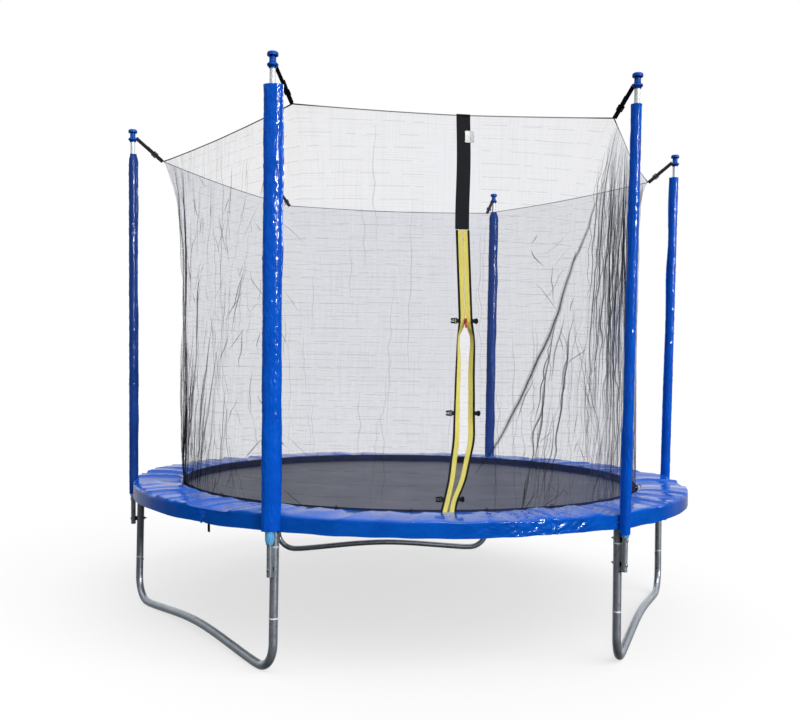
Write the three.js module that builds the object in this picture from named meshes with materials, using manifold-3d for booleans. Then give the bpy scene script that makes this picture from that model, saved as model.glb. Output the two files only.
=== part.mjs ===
// A round garden trampoline with a safety net: a ring of tube on three U-shaped legs, a sprung mat,
// a padded cover, and six padded poles that hold the net by short straps.
// Millimetres, +Z up. The origin is on the ground under the middle of the mat, and the door faces -Y.

import * as THREE from "three";
import Module from "manifold-3d";
import { mergeVertices } from "three/addons/utils/BufferGeometryUtils.js";

const wasm = await Module();
wasm.setup();

// Driving dimensions
const RING_RADIUS = 1502; // centre line of the top ring and of the leg uprights
const RING_HEIGHT = 640; // centre line of the top ring
const LEG_TUBE = 19; // outer radius of the ring and leg tubes
const LEG_WALL = 1.5;
const POLE_TUBE = 12.7; // outer radius of the net poles
const POLE_WALL = 1.2;
const POLE_COUNT = 6;
const LEG_COUNT = 3;
const POLE_FOOT_RADIUS = 1540; // pole axis at the pole's lower end
const POLE_FOOT_HEIGHT = 424;
const POLE_TOP_RADIUS = 1582; // pole axis at the top of the cap
const POLE_TOP_HEIGHT = 2611;
const PAD_OUTER_RADIUS = 1526;
const PAD_INNER_RADIUS = 1269;
const PAD_TOP = 684;
const PAD_THICKNESS = 20;
const PAD_FLAP_BOTTOM = 612;
const MAT_RADIUS = 1285;
const MAT_TOP = 648;
const MAT_THICKNESS = 4;
const SPRINGS_PER_RAIL = 9;
const NET_TOP_HEIGHT = 2442;
const NET_CORNER_RADIUS = 1415; // where the straps hold the net's top corners
const NET_BOTTOM_RADIUS = 1262;
const NET_BOTTOM = 652;
const NET_THICKNESS = 3;
const DOOR_WIDTH = 62; // the two zip tapes side by side
const ZIP_TOP = 1917; // the webbing band above the zip ends here
const ZIP_SLIDER_HEIGHT = 1515; // the zip is closed above its slider

// Fits and facets
const CLEARANCE = 0.4; // between pieces that touch
const LEG_SIDES = 12;
const POLE_SIDES = 10;
const ROUND_SIDES = 72; // the pad and the mat
const SPIGOT_LENGTH = 60; // the narrowed tube end that slides into the next tube
const SPIGOT_PLAY = 0.6;
const SPIGOT_RADIUS = LEG_TUBE - LEG_WALL - SPIGOT_PLAY;
const SHOULDER = 0.2; // length of the step where a tube narrows to its spigot

const steel = () => new THREE.MeshStandardMaterial({ color: 0x9aa3a8, roughness: 0.32, metalness: 0.9 });
const springSteel = () => new THREE.MeshStandardMaterial({ color: 0xb9bdc0, roughness: 0.3, metalness: 0.9 });
const bluePvc = () => new THREE.MeshStandardMaterial({ color: 0x0a3fc0, roughness: 0.25, metalness: 0 });
const bluePlastic = () => new THREE.MeshStandardMaterial({ color: 0x1552b8, roughness: 0.4, metalness: 0 });
const blackWebbing = () => new THREE.MeshStandardMaterial({ color: 0x101014, roughness: 0.85, metalness: 0 });
const matWeave = () => new THREE.MeshStandardMaterial({ color: 0x26282c, roughness: 0.7, metalness: 0 });
const netMesh = () => new THREE.MeshStandardMaterial({ color: 0x17171c, roughness: 0.9, metalness: 0 });
const yellowTape = () => new THREE.MeshStandardMaterial({ color: 0xe6d42c, roughness: 0.7, metalness: 0 });
const blackPlastic = () => new THREE.MeshStandardMaterial({ color: 0x0c0c0e, roughness: 0.4, metalness: 0 });
const redPlastic = () => new THREE.MeshStandardMaterial({ color: 0xc22a1e, roughness: 0.4, metalness: 0 });

const trampoline = new THREE.Group();
const radians = THREE.MathUtils.degToRad;
const toDegrees = THREE.MathUtils.radToDeg;

function add(parent, name, geometry, material) {
  const mesh = new THREE.Mesh(geometry, material);
  mesh.name = name;
  parent.add(mesh);
  return mesh;
}

// A group turned about the vertical axis, so that its +X points at the angle given in degrees.
function spoke(degrees) {
  const group = new THREE.Group();
  group.rotation.z = radians(degrees);
  trampoline.add(group);
  return group;
}

// A closed skin through rings of equally many points, which turn anticlockwise seen from the last ring.
// It is capped at both ends, or it runs on from its last ring to its first. A thin wall's two sides are
// split along matching diagonals, so that it is equally thick all over: its rings run up one side and
// down the other.
function loft(rings, { endless = false, thinWall = false } = {}) {
  const count = rings[0].length;
  const positions = rings.flat().flatMap((point) => [point.x, point.y, point.z]);
  const faces = [];
  const spans = endless ? rings.length : rings.length - 1;
  for (let i = 0; i < spans; i++) {
    const here = i * count;
    const next = ((i + 1) % rings.length) * count;
    for (let j = 0; j < count; j++) {
      const k = (j + 1) % count;
      if (thinWall && j >= count / 2) {
        faces.push(here + j, here + k, next + j);
        faces.push(here + k, next + k, next + j);
      } else {
        faces.push(here + j, here + k, next + k);
        faces.push(here + j, next + k, next + j);
      }
    }
  }
  const last = (rings.length - 1) * count;
  for (let j = 0; !endless && j < count / 2 - 1; j++) {
    const across = count - 1 - j;
    faces.push(j, across, across - 1, j, across - 1, j + 1);
    faces.push(last + j, last + across - 1, last + across, last + j, last + j + 1, last + across - 1);
  }
  const geometry = new THREE.BufferGeometry();
  geometry.setAttribute("position", new THREE.Float32BufferAttribute(positions, 3));
  geometry.setIndex(faces);
  geometry.computeVertexNormals();
  return geometry;
}

// A round section at a station { point, along }, in the plane of `level` and the direction across it.
function section({ point, along }, level, radius, sides) {
  const across = new THREE.Vector3().crossVectors(level, along).normalize();
  return Array.from({ length: sides }, (_, i) => {
    const angle = ((i + 0.5) / sides) * 2 * Math.PI;
    const offset = across.clone().multiplyScalar(radius * Math.cos(angle));
    offset.addScaledVector(level, radius * Math.sin(angle));
    return offset.add(point);
  });
}

// A hollow tube, open at both ends. Each stop is a station with the tube's outer and inner radius there.
function hollowTube(stops, level, sides) {
  const outside = stops.map((stop) => section(stop, level, stop.outer, sides));
  const inside = stops.map((stop) => section(stop, level, stop.inner, sides)).reverse();
  return loft([...outside, ...inside], { endless: true });
}

// A straight hollow tube on the Z axis, through stops [height, outer radius, inner radius].
function straightTube(stops, sides) {
  const up = new THREE.Vector3(0, 0, 1);
  const stations = stops.map(([z, outer, inner]) => ({
    point: new THREE.Vector3(0, 0, z),
    along: up,
    outer,
    inner,
  }));
  return hollowTube(stations, new THREE.Vector3(0, 1, 0), sides);
}

// A body of revolution about Z, turned by half a facet so that a facet's middle faces +X.
// The profile is [radius, height] pairs, anticlockwise with the radius to the right.
function lathe(profile, sides) {
  const points = profile.map(([radius, height]) => new THREE.Vector2(radius, height));
  return new THREE.LatheGeometry(points, sides).rotateX(Math.PI / 2).rotateZ(Math.PI / 2 + Math.PI / sides);
}

function closedLathe(profile, sides) {
  return lathe([...profile, profile[0]], sides);
}

function toManifold(geometry) {
  const bare = geometry.clone();
  bare.deleteAttribute("normal");
  bare.deleteAttribute("uv");
  const merged = mergeVertices(bare, 1e-4);
  const vertProperties = new Float32Array(merged.attributes.position.array);
  const triVerts = new Uint32Array(merged.index.array);
  return new wasm.Manifold(new wasm.Mesh({ numProp: 3, vertProperties, triVerts }));
}

function fromManifold(solid) {
  const { vertProperties, triVerts } = solid.getMesh();
  const geometry = new THREE.BufferGeometry();
  geometry.setAttribute("position", new THREE.BufferAttribute(vertProperties, 3));
  geometry.setIndex(new THREE.BufferAttribute(triVerts, 1));
  geometry.computeVertexNormals();
  return geometry;
}

function box(width, depth, height, x, y, z) {
  return new THREE.BoxGeometry(width, depth, height).translate(x, y, z);
}

// The top ring: six arcs of tube, each with a spigot into the next one and a socket below for a leg.
const RAIL_STEPS = 6;
const RAIL_START = -4; // degrees before the socket
const RAIL_SPAN = 360 / POLE_COUNT;
const RAIL_GAP = 0.03; // degrees between one rail's end and the next one's start
const SPIGOT_SPAN = 2.4; // degrees
const SPIGOT_ROOM = 0.2; // degrees of straight tube past the end of the neighbour's spigot
const SOCKET_BOTTOM = 545;

function ringStation(degrees, outer, inner) {
  const angle = radians(degrees);
  return {
    point: new THREE.Vector3(Math.cos(angle), Math.sin(angle), 0).multiplyScalar(RING_RADIUS),
    along: new THREE.Vector3(-Math.sin(angle), Math.cos(angle), 0),
    outer,
    inner,
  };
}

function railGeometry() {
  const up = new THREE.Vector3(0, 0, 1);
  const end = RAIL_START + RAIL_SPAN - RAIL_GAP;
  const joint = RAIL_START + SPIGOT_SPAN + SPIGOT_ROOM; // the neighbour's spigot lies along this first straight
  const angles = [RAIL_START];
  for (let i = 0; i < RAIL_STEPS; i++) angles.push(joint + ((end - joint) * i) / RAIL_STEPS);
  angles.push(end);
  const wide = angles.map((angle) => ringStation(angle, LEG_TUBE, LEG_TUBE - LEG_WALL));
  const inner = SPIGOT_RADIUS - LEG_WALL;
  const spigot = [
    ringStation(end + RAIL_GAP / 2, SPIGOT_RADIUS, inner),
    ringStation(end + SPIGOT_SPAN, SPIGOT_RADIUS, inner),
  ];
  const arc = (stations, key) => loft(stations.map((stop) => section(stop, up, stop[key], LEG_SIDES)));
  const drop = SOCKET_BOTTOM - RING_HEIGHT;
  const stub = (radius, top) => lathe([[0, drop], [radius, drop], [radius, top], [0, top]], LEG_SIDES)
    .translate(RING_RADIUS, 0, 0);
  return fromManifold(
    toManifold(arc([...wide, ...spigot], "outer"))
      .add(toManifold(stub(LEG_TUBE, 0)))
      .subtract(toManifold(arc([...wide, ...spigot], "inner")))
      .subtract(toManifold(stub(LEG_TUBE - LEG_WALL, CLEARANCE)))
  );
}

// Leg extension: the straight tube between a ring socket and a base leg.
const BASE_TOP = 244;

function extensionGeometry() {
  const inner = LEG_TUBE - LEG_WALL;
  const narrow = SPIGOT_RADIUS - LEG_WALL;
  const top = SOCKET_BOTTOM - CLEARANCE;
  return straightTube([
    [BASE_TOP + CLEARANCE, LEG_TUBE, inner],
    [top, LEG_TUBE, narrow],
    [top + SHOULDER, SPIGOT_RADIUS, narrow],
    [top + SPIGOT_LENGTH, SPIGOT_RADIUS, narrow],
  ], LEG_SIDES);
}

// Base leg: two uprights, a wide bend to a short flat foot at each side, and a tube rising to the middle.
const HALF_CHORD = RING_RADIUS * Math.sin(radians(RAIL_SPAN / 2));
const APOTHEM = RING_RADIUS * Math.cos(radians(RAIL_SPAN / 2));
const BEND_RADIUS = 120;
const BEND_STEPS = 5;
const FOOT_LENGTH = 40;
const BASE_RISE = 45;
const BASE_EASE = 30; // length over which the tube starts to rise from the foot
const BASE_MIDDLE = 60; // half the length of the nearly level middle
const MIDDLE_SHARE = 0.96; // of the rise, reached at the start of the middle
const GROUND_AXIS = LEG_TUBE * Math.cos(Math.PI / LEG_SIDES); // the lowest facet lies on the ground

function baseHalf() {
  const at = (across, height, turn) => ({
    point: new THREE.Vector3(0, across, height),
    along: new THREE.Vector3(0, -Math.sin(turn), -Math.cos(turn)),
    outer: LEG_TUBE,
    inner: LEG_TUBE - LEG_WALL,
  });
  const bendTop = GROUND_AXIS + BEND_RADIUS;
  const stops = [at(HALF_CHORD, BASE_TOP, 0)];
  for (let i = 0; i <= BEND_STEPS; i++) {
    const turn = (i / BEND_STEPS) * (Math.PI / 2);
    const across = HALF_CHORD - BEND_RADIUS * (1 - Math.cos(turn));
    stops.push(at(across, bendTop - BEND_RADIUS * Math.sin(turn), turn));
  }
  const footEnd = HALF_CHORD - BEND_RADIUS - FOOT_LENGTH;
  const slope = BASE_RISE / footEnd;
  stops.push(at(footEnd, GROUND_AXIS, Math.PI / 2));
  stops.push(at(footEnd - BASE_EASE, GROUND_AXIS + BASE_EASE * slope, Math.PI / 2 + slope));
  stops.push(at(BASE_MIDDLE, GROUND_AXIS + BASE_RISE * MIDDLE_SHARE, Math.PI / 2 + slope / 2));
  return stops;
}

function baseLegGeometry() {
  const half = baseHalf();
  const spigotAt = (rise) => ({
    ...half[0],
    point: half[0].point.clone().setZ(BASE_TOP + rise),
    outer: SPIGOT_RADIUS,
    inner: SPIGOT_RADIUS - LEG_WALL,
  });
  const stops = [spigotAt(SPIGOT_LENGTH), spigotAt(SHOULDER), ...half];
  const mirrored = stops.map((stop) => ({
    ...stop,
    point: stop.point.clone().setY(-stop.point.y),
    along: new THREE.Vector3(0, stop.along.y, -stop.along.z),
  })).reverse();
  const leg = hollowTube([...stops, ...mirrored], new THREE.Vector3(1, 0, 0), LEG_SIDES);
  return leg.translate(APOTHEM, 0, 0);
}

// Net poles: a lower tube bolted outside the leg on two spacers, and an upper tube over its narrowed end.
const POLE_LENGTH = Math.hypot(POLE_TOP_HEIGHT - POLE_FOOT_HEIGHT, POLE_TOP_RADIUS - POLE_FOOT_RADIUS);
const POLE_LEAN = Math.atan2(POLE_TOP_RADIUS - POLE_FOOT_RADIUS, POLE_TOP_HEIGHT - POLE_FOOT_HEIGHT);
const POLE_JOINT = 1040; // height of the joint above the pole's foot
const CAP_LENGTH = 70;
const CAP_BORE = 30;
const SPACER_HEIGHTS = [30, 139]; // above the pole's foot
const SPACER_WIDTH = 16;
const SPACER_HEIGHT = 22;
const SPACER_FIT = 0.8; // the spacer stands off the leg by this much, and is sunk as far into the pole

function poleLowerGeometry() {
  const inner = POLE_TUBE - POLE_WALL;
  const narrow = inner - CLEARANCE;
  const tube = straightTube([
    [0, POLE_TUBE, inner],
    [POLE_JOINT, POLE_TUBE, narrow - POLE_WALL],
    [POLE_JOINT + SHOULDER, narrow, narrow - POLE_WALL],
    [POLE_JOINT + SPIGOT_LENGTH, narrow, narrow - POLE_WALL],
  ], POLE_SIDES);
  let solid = toManifold(tube);
  for (const height of SPACER_HEIGHTS) {
    const legFace = RING_RADIUS + LEG_TUBE + CLEARANCE - POLE_FOOT_RADIUS - height * Math.sin(POLE_LEAN);
    const start = legFace + SPACER_FIT;
    const end = -POLE_TUBE * Math.cos(Math.PI / POLE_SIDES) + SPACER_FIT;
    const spacer = box(end - start, SPACER_WIDTH, SPACER_HEIGHT, (start + end) / 2, 0, height);
    solid = solid.add(toManifold(spacer));
  }
  return fromManifold(solid);
}

function poleUpperGeometry() {
  const inner = POLE_TUBE - POLE_WALL;
  const top = POLE_LENGTH - CAP_LENGTH + CAP_BORE - 1;
  return straightTube([[POLE_JOINT + CLEARANCE, POLE_TUBE, inner], [top, POLE_TUBE, inner]], POLE_SIDES);
}

// Foam sleeve with its cover, round the pole from just under the pad to just under the cap.
const SLEEVE_RADIUS = 21;
const SLEEVE_PLAY = 0.8;
const SLEEVE_BOTTOM = 575 - POLE_FOOT_HEIGHT;
const SLEEVE_TOP = 2474 - POLE_FOOT_HEIGHT;

function sleeveGeometry() {
  const inner = POLE_TUBE + SLEEVE_PLAY;
  const ends = [[SLEEVE_BOTTOM, SLEEVE_RADIUS, inner], [SLEEVE_TOP, SLEEVE_RADIUS, inner]];
  return straightTube(ends, POLE_SIDES);
}

// Pole cap: a collar over the tube's end, a flange, a waist for the strap and a domed head.
const CAP_HEAD = 24;
const CAP_WAIST = 14.5;
const CAP_COLLAR = 16.5;
const COLLAR_TOP = 11; // heights above the cap's foot
const FLANGE_FOOT = 13;
const FLANGE_TOP = 19;
const WAIST_FOOT = 22;
const WAIST_TOP = 42;
const HEAD_FOOT = 47;
const DOME_FOOT = 56;
const DOME_STEPS = 3;

function capGeometry() {
  const bore = POLE_TUBE + CLEARANCE;
  const dome = [];
  for (let i = 1; i < DOME_STEPS; i++) {
    const angle = (i / DOME_STEPS) * (Math.PI / 2);
    dome.push([CAP_HEAD * Math.cos(angle), DOME_FOOT + (CAP_LENGTH - DOME_FOOT) * Math.sin(angle)]);
  }
  dome.push([0, CAP_LENGTH]);
  const profile = [
    [0, CAP_BORE], [bore, CAP_BORE], [bore, 0], [CAP_COLLAR, 0], [CAP_COLLAR, COLLAR_TOP],
    [CAP_HEAD, FLANGE_FOOT], [CAP_HEAD, FLANGE_TOP], [CAP_WAIST, WAIST_FOOT], [CAP_WAIST, WAIST_TOP],
    [CAP_HEAD, HEAD_FOOT], [CAP_HEAD, DOME_FOOT], ...dome,
  ];
  return lathe(profile, POLE_SIDES).translate(0, 0, POLE_LENGTH - CAP_LENGTH);
}

// Net strap: a loop round the cap's waist and a flat webbing run down to the net's corner.
const STRAP_WIDTH = 20;
const STRAP_THICKNESS = 3;
const LOOP_PLAY = 0.6;
const LOOP_HALF = 6; // half the width of the loop round the waist
const STRAP_DROP = 8; // the strap's lower end below the net's top edge
const STRAP_END_GAP = 4; // and outside the net's middle surface

function strapGeometry() {
  const loopInner = CAP_WAIST + LOOP_PLAY;
  const loopOuter = loopInner + STRAP_THICKNESS;
  const loop = closedLathe([[loopInner, -LOOP_HALF], [loopOuter, -LOOP_HALF], [loopOuter, LOOP_HALF],
    [loopInner, LOOP_HALF]], POLE_SIDES);
  const waist = POLE_LENGTH - CAP_LENGTH + (WAIST_FOOT + WAIST_TOP) / 2;
  const start = new THREE.Vector3(-loopOuter + STRAP_THICKNESS / 2, 0, 0);
  const top = new THREE.Vector3(POLE_FOOT_RADIUS, 0, POLE_FOOT_HEIGHT);
  top.addScaledVector(new THREE.Vector3(Math.sin(POLE_LEAN), 0, Math.cos(POLE_LEAN)), waist);
  const corner = new THREE.Vector3(NET_CORNER_RADIUS + STRAP_END_GAP, 0, NET_TOP_HEIGHT - STRAP_DROP);
  const end = corner.sub(top).applyAxisAngle(new THREE.Vector3(0, 1, 0), -POLE_LEAN);
  const run = end.clone().sub(start);
  const length = run.length();
  const webbing = new THREE.BoxGeometry(length, STRAP_WIDTH, STRAP_THICKNESS)
    .rotateY(-Math.atan2(run.z, run.x))
    .translate((start.x + end.x) / 2, 0, (start.z + end.z) / 2);
  return fromManifold(toManifold(loop).add(toManifold(webbing))).translate(0, 0, waist);
}

// Padded cover of the springs, with its outer flap and a hollow where each pole's sleeve passes.
const FLAP_THICKNESS = 4;
const HOLLOW_PLAY = 3; // between a sleeve and its hollow
const OVERRUN = 80; // of a cutter past what it cuts

function padGeometry() {
  const bottom = PAD_TOP - PAD_THICKNESS;
  const flap = PAD_OUTER_RADIUS - FLAP_THICKNESS;
  const ring = closedLathe([
    [PAD_INNER_RADIUS, bottom], [flap, bottom], [flap, PAD_FLAP_BOTTOM], [PAD_OUTER_RADIUS, PAD_FLAP_BOTTOM],
    [PAD_OUTER_RADIUS, PAD_TOP], [PAD_INNER_RADIUS, PAD_TOP],
  ], ROUND_SIDES);
  let solid = toManifold(ring);
  const hollow = SLEEVE_RADIUS + HOLLOW_PLAY;
  const low = PAD_FLAP_BOTTOM - OVERRUN;
  const high = PAD_TOP + OVERRUN;
  for (let i = 0; i < POLE_COUNT; i++) {
    const cutter = lathe([[0, low], [hollow, low], [hollow, high], [0, high]], POLE_SIDES);
    const axisRadius = POLE_FOOT_RADIUS + (PAD_TOP - POLE_FOOT_HEIGHT) * Math.tan(POLE_LEAN);
    cutter.translate(axisRadius, 0, 0).rotateZ(radians(i * RAIL_SPAN));
    solid = solid.subtract(toManifold(cutter));
  }
  return fromManifold(solid);
}

function matGeometry() {
  const bottom = MAT_TOP - MAT_THICKNESS;
  return lathe([[0, bottom], [MAT_RADIUS, bottom], [MAT_RADIUS, MAT_TOP], [0, MAT_TOP]], ROUND_SIDES);
}

// The springs between the ring and the mat's rim, joined by the rod that runs through their inner hooks.
const SPRING_COUNT = SPRINGS_PER_RAIL * POLE_COUNT;
const SPRING_WIDTH = 20;
const ROD_WIDTH = 6;
const ROD_INSET = 8; // from the springs' inner ends
const SPRING_HEIGHT = MAT_TOP - MAT_THICKNESS;
const SPRING_INNER_END = MAT_RADIUS + 4;
const SPRING_OUTER_END = RING_RADIUS - LEG_TUBE - 6;

function springRingGeometry() {
  const near = SPRING_INNER_END + ROD_INSET;
  const far = near + ROD_WIDTH;
  const half = ROD_WIDTH / 2;
  const rod = closedLathe([[near, -half], [far, -half], [far, half], [near, half]], SPRING_COUNT);
  let solid = toManifold(rod);
  const length = SPRING_OUTER_END - SPRING_INNER_END;
  for (let i = 0; i < SPRING_COUNT; i++) {
    const spring = box(length, SPRING_WIDTH, SPRING_WIDTH, SPRING_INNER_END + length / 2, 0, 0)
      .rotateZ(((i + 0.5) / SPRING_COUNT) * 2 * Math.PI);
    solid = solid.add(toManifold(spring));
  }
  return fromManifold(solid).translate(0, 0, SPRING_HEIGHT);
}

// The net wall. Its top edge is a hexagon pulled out at the corners, and its foot is the mat's circle.
const NET_COLUMN = 10; // degrees
const DOOR_ANGLE = -90; // degrees
const DOOR_GAP = 1.2; // between the net's cut edges and the door's tapes
const NET_ROWS = [NET_BOTTOM, 818, 993, 1255, ZIP_SLIDER_HEIGHT, ZIP_TOP, 2200, NET_TOP_HEIGHT];
const CORNER_SHARE = 0.7; // of a corner's reach, gained only close to its top
const CORNER_FLARE = 10; // how late it is gained

function netRadius(angle, rise) {
  const turned = (angle + 360 + RAIL_SPAN / 2) % RAIL_SPAN;
  const fromPanelMiddle = ((turned + RAIL_SPAN / 2) % RAIL_SPAN) - RAIL_SPAN / 2;
  const apothem = NET_CORNER_RADIUS * Math.cos(radians(RAIL_SPAN / 2));
  const top = apothem / Math.cos(radians(fromPanelMiddle));
  const corner = Math.abs(fromPanelMiddle) / (RAIL_SPAN / 2);
  const late = CORNER_SHARE * corner;
  const pull = rise * (1 - late) + late * rise ** CORNER_FLARE;
  return NET_BOTTOM_RADIUS + (top - NET_BOTTOM_RADIUS) * pull;
}

const riseAt = (height) => (height - NET_BOTTOM) / (NET_TOP_HEIGHT - NET_BOTTOM);
const frontSurface = (height) => -netRadius(DOOR_ANGLE, riseAt(height));

// Centre lines of the two zip tapes, as x at each row of the net: parted and drifting up to the slider,
// then side by side.
const TAPE_WIDTH = DOOR_WIDTH / 2 - 2;
const TAPE_OFFSET = DOOR_WIDTH / 4 + 1;
const DOOR_X = 47;
const SLIDER_X = 65;
const leftTape = [-32, 7, 27, 35, SLIDER_X - TAPE_OFFSET, DOOR_X - TAPE_OFFSET];
const rightTape = [14, 66, 97, 91, SLIDER_X + TAPE_OFFSET, DOOR_X + TAPE_OFFSET];

function tapeX(tape, height) {
  if (height >= ZIP_TOP) return tape[tape.length - 1];
  const row = NET_ROWS.findIndex((top) => top > height) - 1;
  const share = (height - NET_ROWS[row]) / (NET_ROWS[row + 1] - NET_ROWS[row]);
  return tape[row] + (tape[row + 1] - tape[row]) * share;
}

function netColumn(angleAt) {
  const outside = [];
  const inside = [];
  for (const z of NET_ROWS) {
    const angle = angleAt(z);
    const radius = netRadius(angle, riseAt(z));
    const direction = new THREE.Vector3(Math.cos(radians(angle)), Math.sin(radians(angle)), 0);
    const at = (offset) => direction.clone().multiplyScalar(radius + offset).setZ(z);
    outside.push(at(NET_THICKNESS / 2));
    inside.push(at(-NET_THICKNESS / 2));
  }
  return [...inside, ...outside.reverse()];
}

function netGeometry() {
  const reach = TAPE_WIDTH / 2 + DOOR_GAP;
  const angleOf = (x, z) => toDegrees(Math.atan2(frontSurface(z), x));
  const columns = [netColumn((z) => angleOf(tapeX(rightTape, z) + reach, z))];
  for (let turn = NET_COLUMN; turn < 360; turn += NET_COLUMN) {
    columns.push(netColumn(() => DOOR_ANGLE + turn));
  }
  columns.push(netColumn((z) => angleOf(tapeX(leftTape, z) - reach, z)));
  return loft(columns, { thinWall: true });
}

// A flat ribbon on the front of the net, with its edges at the x given for each height.
const RIBBON_THICKNESS = 3;
const TAPE_FOOT = NET_BOTTOM + 8; // the tapes end above the net's foot
const BAND_GAP = 1; // between the band and the tapes below it

function ribbon(heights, leftEdge, rightEdge) {
  const half = RIBBON_THICKNESS / 2;
  return loft(heights.map((z) => {
    const y = frontSurface(z);
    const left = leftEdge(z);
    const right = rightEdge(z);
    return [
      new THREE.Vector3(left, y - half, z), new THREE.Vector3(right, y - half, z),
      new THREE.Vector3(right, y + half, z), new THREE.Vector3(left, y + half, z),
    ];
  }));
}

function tapeGeometry(tape) {
  const heights = [TAPE_FOOT, ...NET_ROWS.slice(1, tape.length)];
  const half = TAPE_WIDTH / 2;
  return ribbon(heights, (z) => tapeX(tape, z) - half, (z) => tapeX(tape, z) + half);
}

function doorBandGeometry() {
  const heights = [ZIP_TOP + BAND_GAP, NET_TOP_HEIGHT - 2 * BAND_GAP];
  return ribbon(heights, () => DOOR_X - DOOR_WIDTH / 2, () => DOOR_X + DOOR_WIDTH / 2);
}

// Zip slider: a front and a back plate joined by a bridge between the tapes, and an arch that holds the pull.
const SLIDER_LEAN = Math.atan2(DOOR_X - SLIDER_X, ZIP_TOP - ZIP_SLIDER_HEIGHT);
const SLIDER_WIDTH = 14;
const SLIDER_HEIGHT = 24;
const PLATE_THICKNESS = 2;
const BRIDGE_HEIGHT = 8;
const ARCH_BAR = 1.6; // thickness of the arch and the bridge
const ARCH_DEPTH = 10; // the arch's front, measured from the tapes' middle
const ARCH_FOOT = -6; // its lower and upper ends, measured from the pull's axis
const ARCH_HEAD = 5.5;
const PULL_AXIS_Y = -6.2; // the pull's top bar turns inside the arch, measured from the tapes' middle
const PULL_AXIS_Z = 2;

function sliderGeometry() {
  const gap = RIBBON_THICKNESS / 2 + 0.6;
  const plateY = gap + PLATE_THICKNESS / 2;
  const front = box(SLIDER_WIDTH, PLATE_THICKNESS, SLIDER_HEIGHT, 0, -plateY, 0);
  const back = box(SLIDER_WIDTH, PLATE_THICKNESS, SLIDER_HEIGHT, 0, plateY, 0);
  const bridge = box(ARCH_BAR, 2 * plateY, BRIDGE_HEIGHT, 0, 0, SLIDER_HEIGHT / 4);
  const postDepth = ARCH_DEPTH - 3.5;
  const postY = postDepth / 2 - ARCH_DEPTH;
  const postHeight = 1.5;
  const upperPost = box(ARCH_BAR, postDepth, postHeight, 0, postY, PULL_AXIS_Z + ARCH_HEAD - postHeight / 2);
  const lowerPost = box(ARCH_BAR, postDepth, postHeight, 0, postY, PULL_AXIS_Z + ARCH_FOOT + postHeight / 2);
  const archBar = box(ARCH_BAR, ARCH_BAR, ARCH_HEAD - ARCH_FOOT, 0, ARCH_BAR / 2 - ARCH_DEPTH,
    PULL_AXIS_Z + (ARCH_HEAD + ARCH_FOOT) / 2);
  const pieces = [front, back, bridge, upperPost, lowerPost, archBar];
  return fromManifold(pieces.map(toManifold).reduce((whole, piece) => whole.add(piece)));
}

// The pull hangs from its axis: a narrow top with a window for the arch, and a wider grip with a round end.
const PULL_TOP = 1.5; // half the height of its top bar
const PULL_NECK = 4; // half widths
const PULL_GRIP = 5.5;
const PULL_LENGTH = 28; // from the axis to the middle of the round end
const PULL_THICKNESS = 2;
const WINDOW_HALF = 1.8;
const WINDOW_FOOT = -8;

function pullGeometry() {
  const outline = new THREE.Shape();
  outline.moveTo(-PULL_NECK, PULL_TOP);
  outline.lineTo(-PULL_NECK, -10);
  outline.lineTo(-PULL_GRIP, -14);
  outline.absarc(0, -PULL_LENGTH, PULL_GRIP, Math.PI, 2 * Math.PI, false);
  outline.lineTo(PULL_GRIP, -14);
  outline.lineTo(PULL_NECK, -10);
  outline.lineTo(PULL_NECK, PULL_TOP);
  const window = new THREE.Path();
  window.moveTo(-WINDOW_HALF, WINDOW_FOOT);
  window.lineTo(-WINDOW_HALF, -PULL_TOP);
  window.lineTo(WINDOW_HALF, -PULL_TOP);
  window.lineTo(WINDOW_HALF, WINDOW_FOOT);
  outline.holes.push(window);
  return new THREE.ExtrudeGeometry(outline, { depth: PULL_THICKNESS, bevelEnabled: false, curveSegments: 8 })
    .rotateX(Math.PI / 2)
    .translate(0, PULL_AXIS_Y + PULL_THICKNESS / 2, PULL_AXIS_Z);
}

// Side-release buckle halves on short webbing tabs, sewn to the outer edge of each tape.
const BUCKLE_LEVELS = { upper: ZIP_SLIDER_HEIGHT, middle: 1110, lower: 735 };
const BUCKLE_OFFSET = 2.6; // in front of the net's middle surface
const BUCKLE_THICKNESS = 6;
const TAB_HALF = 9; // half width of the webbing tab, and its length
const BUCKLE_HALF = 13;
const SOCKET_END = 14; // where the socket half's round end starts
const PRONG_ROOT = 20;
const PRONG_END = 38;
const TONGUE_END = 34; // the straight guide between the two prongs
const TONGUE_HALF = 2;

// The outline runs along +X from the tape: the tab, then a socket or a plug with two prongs and a tongue.
function buckleOutline(female) {
  const shape = new THREE.Shape();
  shape.moveTo(0, -TAB_HALF);
  shape.lineTo(0, TAB_HALF);
  shape.lineTo(TAB_HALF, TAB_HALF);
  shape.lineTo(TAB_HALF, BUCKLE_HALF);
  if (female) {
    shape.absarc(SOCKET_END, 0, BUCKLE_HALF, Math.PI / 2, -Math.PI / 2, true);
  } else {
    shape.lineTo(PRONG_ROOT, BUCKLE_HALF);
    shape.lineTo(PRONG_END, 8);
    shape.lineTo(PRONG_END, 4);
    shape.lineTo(PRONG_ROOT + 2, 7);
    shape.lineTo(PRONG_ROOT + 2, TONGUE_HALF);
    shape.lineTo(TONGUE_END, TONGUE_HALF);
    shape.lineTo(TONGUE_END, -TONGUE_HALF);
    shape.lineTo(PRONG_ROOT + 2, -TONGUE_HALF);
    shape.lineTo(PRONG_ROOT + 2, -7);
    shape.lineTo(PRONG_END, -4);
    shape.lineTo(PRONG_END, -8);
    shape.lineTo(PRONG_ROOT, -BUCKLE_HALF);
  }
  shape.lineTo(TAB_HALF, -BUCKLE_HALF);
  shape.lineTo(TAB_HALF, -TAB_HALF);
  return shape;
}

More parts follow.
